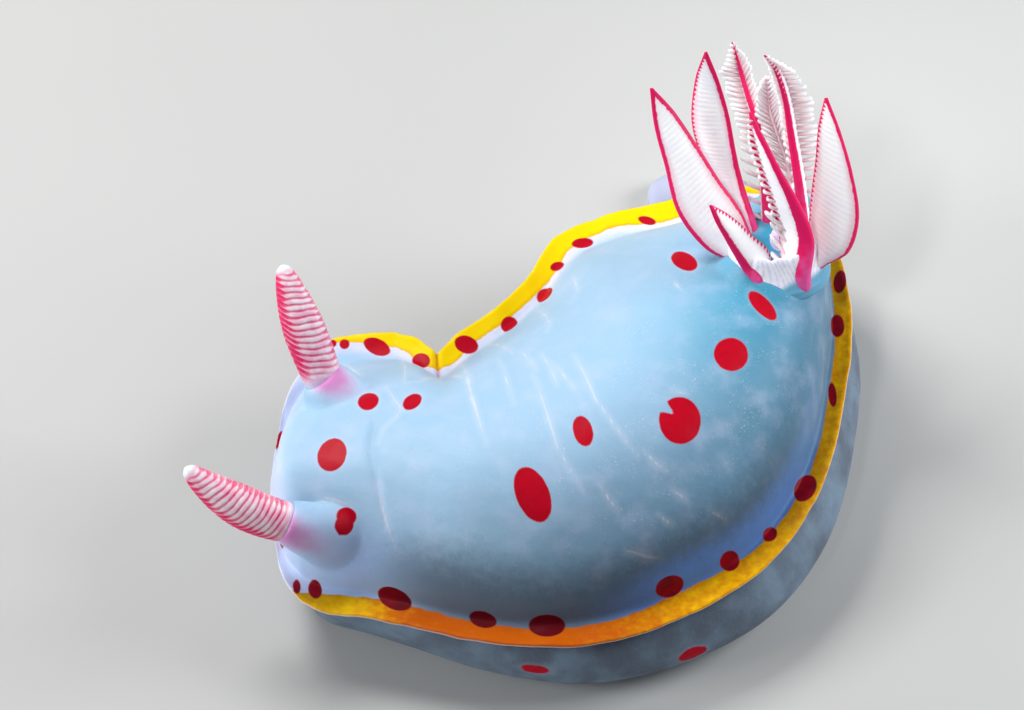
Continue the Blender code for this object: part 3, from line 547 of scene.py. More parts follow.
def spot_distance(points, on_top):
    """How far each point lies outside the nearest red spot, in millimetres, less inside. A
    spot is what an ellipsoid covers: an oval as seen from the left side, or flat on the skin."""
    nearest = np.full(points.shape[:-1], FAR)
    rows = [(spot, True) for spot in SPOTS] + [(spot, False) for spot in FLAT_SPOTS]
    for number, ((share, across, long, wide, turn), seen) in enumerate(rows):
        centre, normal, along = place_on_mantle((share, across))
        first, second, out = SEEN if seen else (along, np.cross(normal, along), normal)
        angle = math.radians(turn)
        away = points - centre
        a = away @ (first * math.cos(angle) + second * math.sin(angle)) / long
        b = away @ (second * math.cos(angle) - first * math.sin(angle)) / wide
        c = away @ out / (SPOT_DEPTH * long)
        reach = (np.sqrt(a**2 + b**2 + c**2) - 1.0) * math.sqrt(long * wide)
        if number == NOTCH_SPOT:
            turned_by = np.abs(np.arctan2(b - NOTCH_POINT[1], a - NOTCH_POINT[0]) - math.radians(NOTCH_LINE))
            inside = math.radians(NOTCH_OPENING) - turned_by
            cut = np.hypot(a - NOTCH_POINT[0], b - NOTCH_POINT[1]) * np.sin(np.clip(inside, -1.5, 1.5))
            reach = np.maximum(reach, cut)
        nearest = np.where(on_top, np.minimum(nearest, reach), nearest)
    return nearest


def line_distance(plan, lines, taper):
    """Distance in plan to the nearest of some bent lines, with a little added near their
    ends so that each line fades out."""
    nearest = np.full(plan.shape[:-1], FAR)
    for line in lines:
        corners = np.array(line)
        paces = np.linalg.norm(np.diff(corners, axis=0), axis=1)
        along = np.concatenate([[0.0], np.cumsum(paces)]) / paces.sum()
        for number, pace in enumerate(paces):
            start = corners[number]
            way = (corners[number + 1] - start) / pace
            t = np.clip((plan - start) @ way, 0.0, pace)
            share = along[number] + t / paces.sum()
            ends = taper * (1.0 - np.sin(math.pi * np.clip(share, 0.0, 1.0)))
            away = np.linalg.norm(plan - start - way * t[..., None], axis=-1) + ends
            nearest = np.minimum(nearest, away)
    return nearest


def closer(values, places, reach, more):
    """The same number of rising values, spaced closer round some places: where the density
    is one plus more times a bell curve of the distance from each place."""
    fine = np.linspace(values[0], values[-1], 2000)
    density = 1.0 + more * sum(np.exp(-(((fine - place) / reach) ** 2)) for place in places)
    amount = np.concatenate([[0.0], np.cumsum(0.5 * (density[1:] + density[:-1]))])
    share = (values - values[0]) / (values[-1] - values[0])
    return np.interp(share, amount / amount[-1], fine)


def eased(t, amount):
    """Values from 0 to 1 drawn closer to both ends: a mean of t and of half a cosine wave."""
    return (1.0 - amount) * t + amount * (0.5 - 0.5 * np.cos(math.pi * t))


def mantle_rings():
    """Rings round the mantle: the top from the left rim to the right, then the underside. The
    skirt thins to its edge, which is rounded by a quarter circle above and below."""
    shares = eased(np.linspace(0.0, 1.0, MANTLE_ROWS + 2)[1:-1], 0.28)
    shares = closer(shares, *CLOSER_ROWS)
    top = closer(eased(np.linspace(0.0, 1.0, MANTLE_TOP_COLUMNS), 0.5), *CLOSER_COLUMNS)
    under = eased(np.linspace(1.0, 0.0, MANTLE_UNDER_COLUMNS + 2)[1:-1], 0.6)
    across = np.concatenate([top, under])
    is_top = np.arange(len(across)) < len(top)
    share, across, is_top = np.broadcast_arrays(shares[:, None], across, is_top)
    points = mantle_top(share, across)
    edge = rim_distance(points[..., :2].reshape(-1, 2)).reshape(share.shape)
    level = rim_level(points[..., 0], points[..., 1])
    curve = 1.0 - np.sqrt(1.0 - (1.0 - np.minimum(edge / EDGE_ROUND, 1.0)) ** 2)
    thick = EDGE_THICK + (RIM_THICK - EDGE_THICK) * step(edge, 0.2, 2.0)
    upper = points[..., 2] - 0.5 * EDGE_THICK * curve
    lower = level - thick + 0.5 * EDGE_THICK * curve
    wave = RIM_WAVE * waves(points[..., :2], 2.3, 3) * (1.0 - step(edge, 0.3, 2.2))
    points[..., 2] = np.where(is_top, upper, lower) + wave
    return points, share, across, is_top, edge


def raised(points, centre, line, height, radii, on_top):
    """Raises skin round a centre along a line: full inside the first radius, none outside
    the second, with a smooth step between."""
    away = points - centre
    flat = away - (away @ line)[..., None] * line
    radius = np.linalg.norm(flat, axis=-1)
    near = (np.abs(away @ line) < 3.0) & on_top
    amount = height * (1.0 - step(radius, *radii)) * near
    return points + amount[..., None] * line


def sleeve(points, centre, normal, move, radii, on_top):
    """Draws skin out into a sleeve: what lies near the centre moves out by the given move
    and turns to face along it, and both fade out from the first radius to the second. Inside
    the sleeve's lip the skin dips."""
    line = unit(move)
    away = points - centre
    radius = np.linalg.norm(away, axis=-1)
    near = (radius < radii[1]) & on_top
    amount = (1.0 - step(radius, *radii)) * near
    axis = np.cross(normal, line)
    turn = Matrix.Rotation(math.atan2(np.linalg.norm(axis), normal @ line), 3, Vector(axis))
    turned_away = away @ np.array(turn).T
    sunk = SLEEVE_DIP * (1.0 - step(radius, 0.55, 0.85)) * near
    moved = away + (turned_away - away + move) * amount[..., None] - line * sunk[..., None]
    return centre + np.where(near[..., None], moved, away)


points, share, across, is_top, edge = mantle_rings()
left = rim(share[:, 0], "left")
right = rim(share[:, 0], "right")
over = unit(right - left)[:, None]
along = share[..., None] * BODY_LENGTH
ripple = 0.5 * waves(along, 1.9, 11) + 0.5 * waves(along, 0.9, 12)
amount = EDGE_RIPPLE * ripple * (1.0 - step(edge, 0.3, 1.5)) * np.where(across > 0.5, 1.0, -0.7)
points[..., :2] += over * amount[..., None]
for _ in range(SMOOTH_PASSES):
    around = 0.5 * (np.roll(points, 1, axis=1) + np.roll(points, -1, axis=1))
    along = points.copy()
    along[1:-1] = 0.5 * (points[2:] + points[:-2])
    points = 0.5 * points + 0.25 * around + 0.25 * along
inland = step(edge, 0.6, 2.5) * is_top
points[..., 2] += 0.06 * waves(points, 3.4, 5) * inland + 0.02 * waves(points, 1.1, 6) * inland
pale = np.where(is_top, line_distance(points[..., :2], PALE_LINES, 0.05), FAR)
fold = line_distance(points[..., :2], (NOTCH_FOLD,), 0.0)
crease = line_distance(points[..., :2], HEAD_CREASES, 0.25)
points[..., 2] -= FOLD_DEPTH * np.exp(-((fold / FOLD_WIDTH) ** 2)) * is_top
points[..., 2] -= CREASE_DEPTH * np.exp(-((crease / CREASE_WIDTH) ** 2)) * is_top
glow = np.zeros(share.shape)
for side, place in RHINOPHORE_PLACES.items():
    centre, normal, _ = place_on_mantle(place)
    move = np.array(CLUB_ROOTS[side]) - centre
    move = move * (1.0 + SLEEVE_LAP / np.linalg.norm(move))
    shift, reach = GLOWS[side]
    away = np.linalg.norm(points - centre - shift, axis=-1)
    glow = np.maximum(glow, (1.0 - step(away, 0.3, reach)) * is_top)
    points = sleeve(points, centre, normal, move, SLEEVE_RADII, is_top)
centre, _, _ = place_on_mantle(VENT_PLACE)
points = raised(points, centre, unit(VENT_LINE), COLLAR_HEIGHT, COLLAR_RADII, is_top)

on_left = across < 0.5
width_left = through(BAND_SHARES_LEFT, BAND_WIDTHS_LEFT, share)
width_right = through(BAND_SHARES_RIGHT, BAND_WIDTHS_RIGHT, share)
width = np.where(on_left, width_left, width_right)
steep = step(share, 0.9, 0.965) * step(across, 0.12, 0.35) * (1.0 - step(across, 0.7, 0.9))
width = width * (1.0 - 0.7 * steep)
width = np.where(is_top, width, np.minimum(width, 0.3))
fields = {
    "edge_mm": edge,
    "band_mm": width - edge,
    "pale_mm": pale,
    "fold_mm": fold,
    "glow": glow,
    "teal": step(share, 0.4, 0.85) * (1.0 - step(across, 0.35, 0.85)) * is_top,
    # Painted shade of the back falling on the near lip: the band turns orange and the spots dark there.
    "painted_shade": (1.0 - step(across, 0.1, 0.25))
    * (0.5 + 0.5 * step(share, 0.22, 0.3))
    * (1.0 - 0.42 * step(share, 0.4, 0.56)),
    # Painted shade on the lower near side of the back.
    "low": step(share, 0.28, 0.5) * (1.0 - step(across, 0.12, 0.5)) * is_top,
    # Blue-lavender patch below the left sleeve: the skin's own tint, painted paler as painted light in the
    # sleeve's shadow.
    "head_patch_and_painted_light": np.exp(-(((share - 0.225) / 0.05) ** 2) - ((across - 0.12) / 0.07) ** 2) * is_top,
    "valley": on_left * step(share, 0.42, 0.52) * (1.0 - step(share, 0.62, 0.78)),
    # Painted shade in the curled groove just inside the near band.
    "crease": on_left
    * step(share, 0.2, 0.32)
    * (1.0 - 0.7 * step(share, 0.62, 0.75))
    * (1.0 - step(share, 0.8, 0.92)),
    "far": step(across, 0.45, 0.6) + (1.0 - step(share, 0.1, 0.25)) * (across < 0.45),
    "spot_mm": spot_distance(points, is_top),
}
poles = {key: (FAR, FAR) for key in ("pale_mm", "fold_mm", "spot_mm")}
poles.update({"edge_mm": (0.0, 0.2), "band_mm": (-1.0, 0.2)})
fields = {key: ended(numbers, *poles.get(key, (0.0, 0.0))) for key, numbers in fields.items()}

skin = Paint("mantle_skin")
ragged = skin.noise(2.2, 3.0, 0.6) - 0.5
fine = skin.noise(9.0, 2.0) - 0.5
mottle = skin.noise(0.35, 3.0)
grain = skin.noise(14.0, 2.0)
teal = (skin.field("teal") * 1.15 + (mottle - 0.5) * 0.35).rise(0.05, 1.0)
blue = skin.mix(teal, SKY_BLUE, TEAL_BLUE)
# Painted shade: the lower near side of the back turns slate blue.
blue = skin.mix(skin.field("low") * 0.75, blue, PAINTED_SHADE_SLATE)
blue = skin.mix(skin.noise(0.7, 4.0).rise(0.4, 0.8) * 0.25, blue, PALE_LILAC)
speckle = skin.noise(11.0, 1.0).rise(0.66, 0.74) * skin.noise(0.8, 1.0).rise(0.42, 0.62)
blue = skin.mix(speckle * 0.35, blue, EDGE_WHITE)
pale_line = (skin.field("pale_mm") + fine * 0.05).fall(0.01, 0.085)
blue = skin.mix((skin.field("pale_mm") + ragged * 0.1).fall(0.0, 0.35) * 0.14, blue, EDGE_WHITE)
blue = skin.mix(pale_line * 0.42, blue, EDGE_WHITE)
band = skin.field("band_mm") + ragged * 0.2 + fine * 0.04
far = skin.field("far")
fringe = band.rise(-1.0, -0.1)
blue = skin.mix(fringe * (far * 0.65 + 0.1), blue, PALE_LILAC)
blue = skin.mix((band + ragged * 0.4).rise(-0.6, 0.0) * far * 0.6, blue, EDGE_WHITE)
# Painted light: the blue-lavender patch below the left sleeve is painted paler where the sleeve shades it.
blue = skin.mix(skin.field("head_patch_and_painted_light") * 0.7, blue, HEAD_BLUE_AND_PAINTED_LIGHT)
# Painted shade: dark grey in the curled groove just inside the near band, where the pale edge and spot halos
# give way.
crease = skin.field("crease") * (band + ragged * 0.4).rise(-2.4, -0.7)
blue = skin.mix(crease * 0.75, blue, PAINTED_SHADE_GREY)
valley = skin.field("valley") * (band + ragged * 0.3).rise(-1.1, -0.3)
blue = skin.mix(valley * 0.75, blue, DEEP_BLUE)
blue = skin.mix(skin.field("edge_mm").fall(0.2, 1.2) * (1.0 - skin.field("crease")) * 0.6, blue, PALE_LILAC)
blue = skin.mix(skin.field("glow").rise(0.0, 0.8) * 0.8, blue, PALE_LILAC)
blue = skin.mix((skin.field("glow") + ragged * 0.25).rise(0.25, 0.9) * 0.8, blue, GLOW_MAGENTA)
spot = skin.field("spot_mm") + ragged * 0.06 + fine * 0.02
blue = skin.mix(spot.fall(0.0, 0.3) * (1.0 - skin.field("crease")) * 0.2, blue, PALE_LILAC)
# The band turns orange at random, at its inner edge, and as painted shade on the near lip.
yellow = skin.mix((skin.field("painted_shade") + ragged * 0.6).rise(0.1, 1.0), BAND_YELLOW, BAND_ORANGE_AND_PAINTED_SHADE)
yellow = skin.mix(band.fall(0.0, 0.25) * 0.35, yellow, BAND_ORANGE_AND_PAINTED_SHADE)
colour = skin.mix(band.rise(-0.03, 0.05), blue, yellow)
colour = skin.mix((skin.field("fold_mm") + fine * 0.05).fall(0.02, 0.12) * 0.45, colour, SPOT_RED)
colour = skin.mix(skin.field("edge_mm").fall(0.02, 0.1) * 0.6, colour, EDGE_WHITE)
# Spots darken at random, and as painted shade on the near lip.
red = skin.mix((skin.noise(1.6, 3.0) * 0.6 + skin.field("painted_shade") * 0.8).rise(0.25, 1.1), SPOT_RED, SPOT_MOTTLE_AND_PAINTED_SHADE)
colour = skin.mix(spot.fall(-0.03, 0.05), colour, red)
FLESH = {
    "Subsurface Weight": 0.2,
    "Subsurface Radius": (0.7, 0.75, 0.9),
    "Subsurface Scale": 0.0003,
    "Specular IOR Level": 0.1,
    "Coat Weight": 0.03,
    "Coat Roughness": 0.25,
}
mantle_bumps = ((pale_line, 0.008), (grain, 0.004), (skin.noise(3.5, 3.0), 0.015))
mantle_paint = skin.finish(colour, 0.45 + (mottle - 0.5) * 0.15, mantle_bumps, FLESH)

ends = mantle_top(np.array([0.0, 1.0]), 0.5)
ends[:, 2] -= 0.5 * EDGE_THICK
corners = with_poles(points, ends[0], ends[1])
faces = outward(corners, closed_faces(*share.shape))
mantle = mesh_piece("mantle", corners, faces, fields, mantle_paint)
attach(mantle, "root")
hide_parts("mantle_front", "mantle_middle", "mantle_rear")


# Foot, head and tail: the flank under the skirt, the head with its two oral tentacles, and
# the tail behind. They are one soft body, so the forms are melted into one skin.
FOOT_SHARES = (0.0, 0.14, 0.28, 0.42, 0.6, 0.8, 0.92, 1.0)
SWELL_LEFT = (-1.6, -1.5, -0.7, 0.2, 0.75, 0.9, 0.5, -0.3)
SWELL_RIGHT = (-1.5, -1.2, -1.0, -0.8, -0.6, -0.6, -0.5, -0.3)
FLANK_HEIGHTS = (1.0, 0.88, 0.66, 0.4, 0.16, 0.0)
FLANK_INSETS = (0.9, 0.4, 0.05, 0.0, 0.55, 1.7)
FLANK_STEPS = 24
FOOT_FRONT = 0.12
FOOT_REAR = 0.965
FOOT_END = 0.09
FOOT_ROWS = 110
FOOT_LAP = 0.25
FOOT_MIDDLE = 2.0
CAP_STEPS = 12

TAIL_LINE = ((9.8, 10.0), (9.6, 12.6), (8.4, 15.2), (6.5, 17.2), (4.4, 18.3))
TAIL_HALF_WIDTHS = (3.4, 3.1, 2.6, 2.0, 1.1)
TAIL_HEIGHTS = (3.4, 2.9, 2.4, 1.9, 1.3)
TAIL_ROWS = 60
TAIL_SIDES = 30
TAIL_SOLE_POINTS = 7
TAIL_ROUND = 0.85

ORAL_ROOTS = {"left": (-12.3, -6.7, 2.0), "right": (-12.3, -2.3, 2.0)}
ORAL_TIPS = {"left": (-13.9, -7.6, 1.7), "right": (-14.0, -1.5, 1.7)}
ORAL_RADII = (0.62, 0.3)
ORAL_ROUND = (0.85, 0.5)
ORAL_ROWS = 12
ORAL_SIDES = 16
MOUTH = (-13.9, -4.5, 1.1)
MOUTH_DEPTH = 0.55
MOUTH_HOLLOW = (0.9, 0.35, 0.7)
MOUTH_LIPS = (1.2, 0.4, 0.8)
VOXEL = 0.19
MELT_PASSES = 14

# Red spots on the flank: middle, half width and half height.
FLANK_SPOTS = (
    (-1.9, -14.4, 2.2, 1.0, 0.42), (5.9, -12.7, 1.9, 0.75, 0.4),
    (14.2, 4.0, 2.3, 0.7, 0.45), (7.6, 15.6, 2.4, 0.7, 0.5), (-2.5, 5.6, 2.2, 0.6, 0.4),
    (1.5, 11.6, 2.2, 0.6, 0.4), (-8.6, -12.2, 2.0, 0.5, 0.35), (-10.4, 3.9, 2.2, 0.5, 0.35),
)
# The flank's grey-blue is its own colour, darkened as painted shade under the skirt.
FLANK_GREY_AND_PAINTED_SHADE = (0.12, 0.15, 0.2)
FLANK_BLUE_AND_PAINTED_SHADE = (0.2, 0.28, 0.37)
SOLE_GREY = (0.5, 0.5, 0.56)


def foot_rings():
    """Sections across the body: the flank's profile on each side, the cap and the sole,
    drawn in towards the middle at both ends by the root of a quarter circle."""
    shares = np.linspace(FOOT_FRONT, FOOT_REAR, FOOT_ROWS + 2)[1:-1]
    left = rim(shares, "left")
    right = rim(shares, "right")
    chord = np.linalg.norm(right - left, axis=1)
    out = (left - right) / chord[:, None]
    scale = np.minimum(1.0, chord / 8.0)
    end = np.minimum(shares - FOOT_FRONT, FOOT_REAR - shares) / FOOT_END
    fullness = np.sqrt(1.0 - (1.0 - np.minimum(end, 1.0)) ** 2)
    down = np.linspace(0.0, 1.0, FLANK_STEPS)
    knots = np.linspace(0.0, 1.0, len(FLANK_HEIGHTS))
    heights = through(knots, FLANK_HEIGHTS, down)
    insets = through(knots, FLANK_INSETS, down)
    sides = []
    for corner, away, swells in ((left, out, SWELL_LEFT), (right, -out, SWELL_RIGHT)):
        swelling = through(FOOT_SHARES, swells, shares)
        offset = (swelling[:, None] * np.minimum(1.0, 2.0 - 2.0 * heights) - insets) * scale[:, None]
        plan = corner[:, None] + away[:, None] * offset[..., None]
        level = rim_level(plan[..., 0], plan[..., 1]) - RIM_THICK + FOOT_LAP
        sides.append(np.concatenate([plan, (level * heights)[..., None]], axis=-1))
    t = np.linspace(0.0, 1.0, CAP_STEPS)[1:-1, None]
    cap = sides[0][:, :1] * (1 - t) + sides[1][:, :1] * t
    sole = sides[1][:, -1:] * (1 - t) + sides[0][:, -1:] * t
    rings = np.concatenate([sides[0][:, ::-1], cap, sides[1], sole], axis=1)
    middle = rings.mean(axis=1, keepdims=True)
    middle[..., 2] = FOOT_MIDDLE
    squeeze = np.stack([fullness**0.5, fullness**0.5, fullness], axis=-1)[:, None]
    return middle + (rings - middle) * squeeze


def tail_rings():
    """Tail: half ovals over a flat sole, along its bent line. Its tip is rounded by a quarter
    circle in the shares past TAIL_ROUND."""
    knots = np.linspace(0.0, 1.0, len(TAIL_LINE))
    shares = 1.0 - (1.0 - np.linspace(0.0, 0.995, TAIL_ROWS)) ** 1.3
    centres = through(knots, TAIL_LINE, shares)
    lines = unit(through(knots, TAIL_LINE, shares + 0.02) - through(knots, TAIL_LINE, shares - 0.02))
    close = np.sqrt(1.0 - np.clip((shares - TAIL_ROUND) / (1.0 - TAIL_ROUND), 0.0, 1.0) ** 2)
    half = through(knots, TAIL_HALF_WIDTHS, shares) * close
    tall = through(knots, TAIL_HEIGHTS, shares) * (0.4 + 0.6 * close)
    over = np.stack([-lines[:, 1], lines[:, 0]], axis=-1)
    angles = np.linspace(0.0, math.pi, TAIL_SIDES)
    reach = np.concatenate([np.cos(angles), np.linspace(-0.64, 0.64, TAIL_SOLE_POINTS)])
    rise = np.concatenate([np.sin(angles) ** 0.8, np.zeros(TAIL_SOLE_POINTS)])
    plan = centres[:, None] + over[:, None] * (half[:, None] * reach)[..., None]
    return np.concatenate([plan, (tall[:, None] * rise)[..., None]], axis=-1)


def tube_rings(centres, radii, sides):
    """Circles of the given radii square to a path, turned the same way all along it."""
    lines = unit(np.gradient(centres, axis=0))
    first = unit(np.cross(lines, (0.3, 0.2, 1.0) if abs(lines[0][2]) < 0.9 else (1.0, 0.0, 0.0)))
    second = np.cross(lines, first)
    angles = np.linspace(0.0, 2.0 * math.pi, sides, endpoint=False)[:, None]
    spread = first[:, None] * np.cos(angles) + second[:, None] * np.sin(angles)
    return centres[:, None] + spread * np.asarray(radii)[:, None, None]


def joined(shells):
    """Points and faces of several closed shells as one mesh's worth."""
    points = np.concatenate([shell for shell, _ in shells])
    faces = []
    first = 0
    for shell, own in shells:
        faces += [[corner + first for corner in face] for face in own]
        first += len(shell)
    return points, faces


def shell_of(rings):
    """Closed shell of rings with a pole at each end, facing outward."""
    points = with_poles(rings)
    return points, outward(points, closed_faces(*rings.shape[:2]))


def melted(name, shells, voxel, passes):
    """The shells fused by a voxel remesh and smoothed: points in millimetres and faces."""
    points, faces = joined(shells)
    rough = bpy.data.meshes.new(name)
    rough.from_pydata((points * MM).tolist(), [], faces)
    body = bpy.data.objects.new(name, rough)
    bpy.context.scene.collection.objects.link(body)
    remesh = body.modifiers.new("melt", "REMESH")
    remesh.mode = "VOXEL"
    remesh.voxel_size = voxel * MM
    smooth = body.modifiers.new("smooth", "SMOOTH")
    smooth.factor = 0.5
    smooth.iterations = passes
    bpy.context.view_layer.update()
    evaluated = body.evaluated_get(bpy.context.evaluated_depsgraph_get())
    mesh = bpy.data.meshes.new_from_object(evaluated)
    found = np.empty(len(mesh.vertices) * 3)
    mesh.vertices.foreach_get("co", found)
    faces = [list(polygon.vertices) for polygon in mesh.polygons]
    bpy.data.objects.remove(body)
    bpy.data.meshes.remove(mesh)
    return found.reshape(-1, 3) / MM, faces


shells = [shell_of(foot_rings()), shell_of(tail_rings())]
for side, root in ORAL_ROOTS.items():
    t = np.linspace(0.0, 1.0, ORAL_ROWS)[:, None]
    path = np.array(root) * (1 - t) + np.array(ORAL_TIPS[side]) * t
    radii = (ORAL_RADII[0] * (1 - t) + ORAL_RADII[1] * t)[:, 0]
    radii[-2:] *= ORAL_ROUND
    shells.append(shell_of(tube_rings(path, radii, ORAL_SIDES)))
points, faces = melted("foot", shells, VOXEL, MELT_PASSES)
away = np.linalg.norm((points - MOUTH) / MOUTH_HOLLOW, axis=1)
points[:, 0] += MOUTH_DEPTH * (1.0 - step(away, 0.2, 1.0))
points[:, 2] = np.maximum(points[:, 2], 0.0)
spots = np.full(len(points), FAR)
for x, y, z, long, wide in FLANK_SPOTS:
    away = points - (x, y, z)
    flat = np.hypot(away[:, 0], away[:, 1])
    reach = (np.hypot(flat / long, away[:, 2] / wide) - 1.0) * math.sqrt(long * wide)
    spots = np.minimum(spots, reach)
tail_share = step(points[:, 1], 13.5, 18.0)

flesh = Paint("foot_skin")
height = flesh.add("SeparateXYZ", 2, None, {0: flesh.place})
mottle = flesh.noise(0.5, 3.0)
grain = flesh.noise(14.0, 2.0)
ragged = flesh.noise(2.5, 3.0) - 0.5
# Flank: grey-blue mottle, darkened as painted shade under the skirt.
colour = flesh.mix(mottle.rise(0.3, 0.75), FLANK_GREY_AND_PAINTED_SHADE, FLANK_BLUE_AND_PAINTED_SHADE)
colour = flesh.mix(flesh.field("tail") * 0.7, colour, PALE_LILAC)
colour = flesh.mix(grain.rise(0.6, 0.85) * 0.25, colour, EDGE_WHITE)
colour = flesh.mix(height.fall(0.0, 1.1) * 0.3, colour, PALE_LILAC)
colour = flesh.mix(height.fall(0.0, 0.15), colour, SOLE_GREY)
spot = flesh.field("spot_mm") + ragged * 0.15
colour = flesh.mix(spot.fall(0.0, 0.3) * 0.1, colour, PALE_LILAC)
colour = flesh.mix(spot.fall(-0.04, 0.06), colour, SPOT_RED)
colour = flesh.mix(flesh.field("mouth") * 0.8, colour, GLOW_MAGENTA)
foot_paint = flesh.finish(colour, 0.45, ((grain, 0.006), (flesh.noise(3.0, 3.0), 0.025)), FLESH)
mouth_field = 1.0 - step(np.linalg.norm((points - MOUTH) / MOUTH_LIPS, axis=1), 0.3, 1.1)
fields = {"spot_mm": spots, "tail": tail_share, "mouth": mouth_field}
foot = mesh_piece("foot", points, faces, fields, foot_paint)
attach(foot, "root")
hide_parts("head", "foot_front", "foot_middle", "foot_rear", "tail")


# Rhinophores: the two scent horns, of soft flesh. Each is a short stalk that stands in the
# skin's sleeve, and a club of slanting leaves on it, crimson in the grooves and down its
# front and back.
STALK_RADIUS = 0.6
STALK_SINK = 0.4
STALK_RISE = 0.3
STALK_ROWS = 24
STALK_SIDES = 32
CLUB_TIPS = {"left": (-18.41, -7.73, 10.48), "right": (-14.09, 2.94, 12.63)}
CLUB_SHARES = (0.0, 0.05, 0.14, 0.28, 0.45, 0.62, 0.78, 0.88, 0.94, 0.98, 1.0)
CLUB_RADII = (0.9, 0.98, 1.02, 1.06, 1.05, 0.92, 0.72, 0.56, 0.43, 0.3, 0.14)
CLUB_BOWS = {"left": (-0.1, -0.25, -0.3), "right": (-0.12, 0.1, 0.1)}
CLUB_LEAVES = 17
CLUB_LEAFY = 0.9
CLUB_END = 0.06
LEAF_DEPTH = 0.04
LEAF_SLANT = 0.25
CREST_SLANT = 0.42
CLUB_ROWS = 300
CLUB_SIDES = 96
STALK_PINK = (0.72, 0.5, 0.78)
LEAF_PINK = (0.97, 0.52, 0.68)
LEAF_WHITE = (1.0, 0.88, 0.93)
GROOVE_CRIMSON = (0.76, 0.025, 0.14)
TIP_WHITE = (0.8, 0.82, 0.88)


def club_rings(root, tip, bow, front):
    """Club along a bowed line: its radius is its outline's, less a groove that opens where
    the leaf number, share times leaves less a slant, nears a whole number. The slant goes
    with the cosine of the angle from the front, and with its fifth power near the front."""
    share = np.linspace(0.0, 1.0, CLUB_ROWS)
    length = np.linalg.norm(tip - root)
    path = root + (tip - root) * share[:, None]
    path = path + np.array(bow) * (4.0 * share * (1.0 - share))[:, None]
    lines = unit(np.gradient(path, axis=0))
    first = unit(front - lines * (lines @ front)[:, None])
    second = np.cross(lines, first)
    angle = np.linspace(0.0, 2.0 * math.pi, CLUB_SIDES, endpoint=False)
    outline = through(CLUB_SHARES, CLUB_RADII, share)[:, None]
    front_share = np.maximum(np.cos(angle), 0.0)
    slant = (LEAF_SLANT * np.cos(angle) + CREST_SLANT * front_share**5) * outline / length
    wander = 0.09 * np.sin(3.0 * angle + 9.0 * share[:, None])
    wander = wander + 0.04 * np.sin(5.0 * angle - 21.0 * share[:, None])
    leaf = (share[:, None] - slant) * (CLUB_LEAVES / CLUB_LEAFY) + wander
    part = leaf - np.floor(leaf)
    groove = np.exp(-(((part - 0.5) / 0.2) ** 2))
    leafy = step(share, 0.03, 0.12)[:, None] * (1.0 - step(share, 0.9, 0.95))[:, None]
    depth = LEAF_DEPTH * leafy * groove * (0.6 + 0.4 * np.abs(np.sin(angle)))
    flat = 1.0 - 0.08 * np.abs(np.sin(angle)) ** 2
    radius = outline * flat - depth * np.minimum(outline, 1.0)
    spread = first[:, None] * np.cos(angle)[:, None] + second[:, None] * np.sin(angle)[:, None]
    rings = path[:, None] + spread * radius[..., None]
    shape = radius.shape
    return rings, {
        "leaf": leaf,
        "crest": np.broadcast_to(np.cos(angle), shape),
        "up": np.broadcast_to(share[:, None], shape),
    }


horn = Paint("rhinophore_leaves")
part = horn.field("leaf").part()
crest = horn.field("crest")
up = horn.field("up")
ragged = horn.noise(5.0, 2.0) - 0.5
patch = horn.noise(1.6, 2.0)
to_groove = (part - 0.5).size()
colour = horn.mix((patch + ragged * 0.3).rise(0.3, 0.7), LEAF_WHITE, LEAF_PINK)
colour = horn.mix(to_groove.fall(0.05, 0.5) * 0.5, colour, LEAF_PINK)
front_edge = (crest + ragged * 0.16).rise(0.45, 0.92)
back_edge = (ragged * 0.12 - crest).rise(0.72, 0.97)
reach = front_edge * 0.3 + back_edge * 0.3 + patch * 0.16
lines = (to_groove + ragged * 0.16 - reach).fall(-0.06, 0.24) * ((patch - 0.5) * 0.8 + 0.72)
clear = up.rise(0.03, 0.16) * up.fall(0.92, 0.965)
red = (lines * clear + front_edge * clear * 0.35).least(1.0)
colour = horn.mix(red, colour, GROOVE_CRIMSON)
colour = horn.mix(up.fall(0.0, 0.1) * 0.8, colour, PALE_LILAC)
colour = horn.mix(up.rise(0.945, 0.98), colour, TIP_WHITE)
HORN_FLESH = {**FLESH, "Subsurface Weight": 0.25}
horn_paint = horn.finish(colour, 0.38, ((horn.noise(8.0, 2.0), 0.012),), HORN_FLESH)

stem = Paint("rhinophore_stalk")
colour = stem.mix(stem.noise(1.5, 2.0), STALK_PINK, PALE_LILAC)
colour = stem.mix(stem.noise(4.0, 3.0).rise(0.5, 0.75) * 0.4, colour, EDGE_WHITE)
stem_paint = stem.finish(colour, 0.4, ((stem.noise(5.0, 2.0), 0.015),), HORN_FLESH)

FORWARD = np.array([-1.0, -0.35, 0.0])
for side, place in RHINOPHORE_PLACES.items():
    foot_point, normal, _ = place_on_mantle(place)
    root = np.array(CLUB_ROOTS[side])
    tip = np.array(CLUB_TIPS[side])
    t = np.linspace(0.0, 1.0, STALK_ROWS)[:, None]
    path = (1 - t) * (foot_point - STALK_SINK * normal) + t * (root + unit(tip - root) * STALK_RISE)
    corners, faces = shell_of(tube_rings(path, np.full(STALK_ROWS, STALK_RADIUS), STALK_SIDES))
    stalk = mesh_piece("rhinophore_stalk_" + side + "_flesh", corners, faces, {}, stem_paint)
    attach(stalk, "root")
    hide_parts("rhinophore_stalk_" + side)
    rings, fields = club_rings(root, tip, CLUB_BOWS[side], FORWARD)
    corners = with_poles(rings, end=tip + unit(tip - root) * CLUB_END)
    fields = {key: ended(numbers, 0.0, 1.0) for key, numbers in fields.items()}
    faces = outward(corners, closed_faces(*rings.shape[:2]))
    club = mesh_piece("rhinophore_club_" + side + "_leaves", corners, faces, fields, horn_paint)
    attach(club, "root")
    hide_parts("rhinophore_club_" + side)


# Gills: eight plumes in a ring round the vent. Each is a tapering blade from a crimson keel
# to a free edge, with fine ribs across its faces and rows of soft finger-like leaflets.

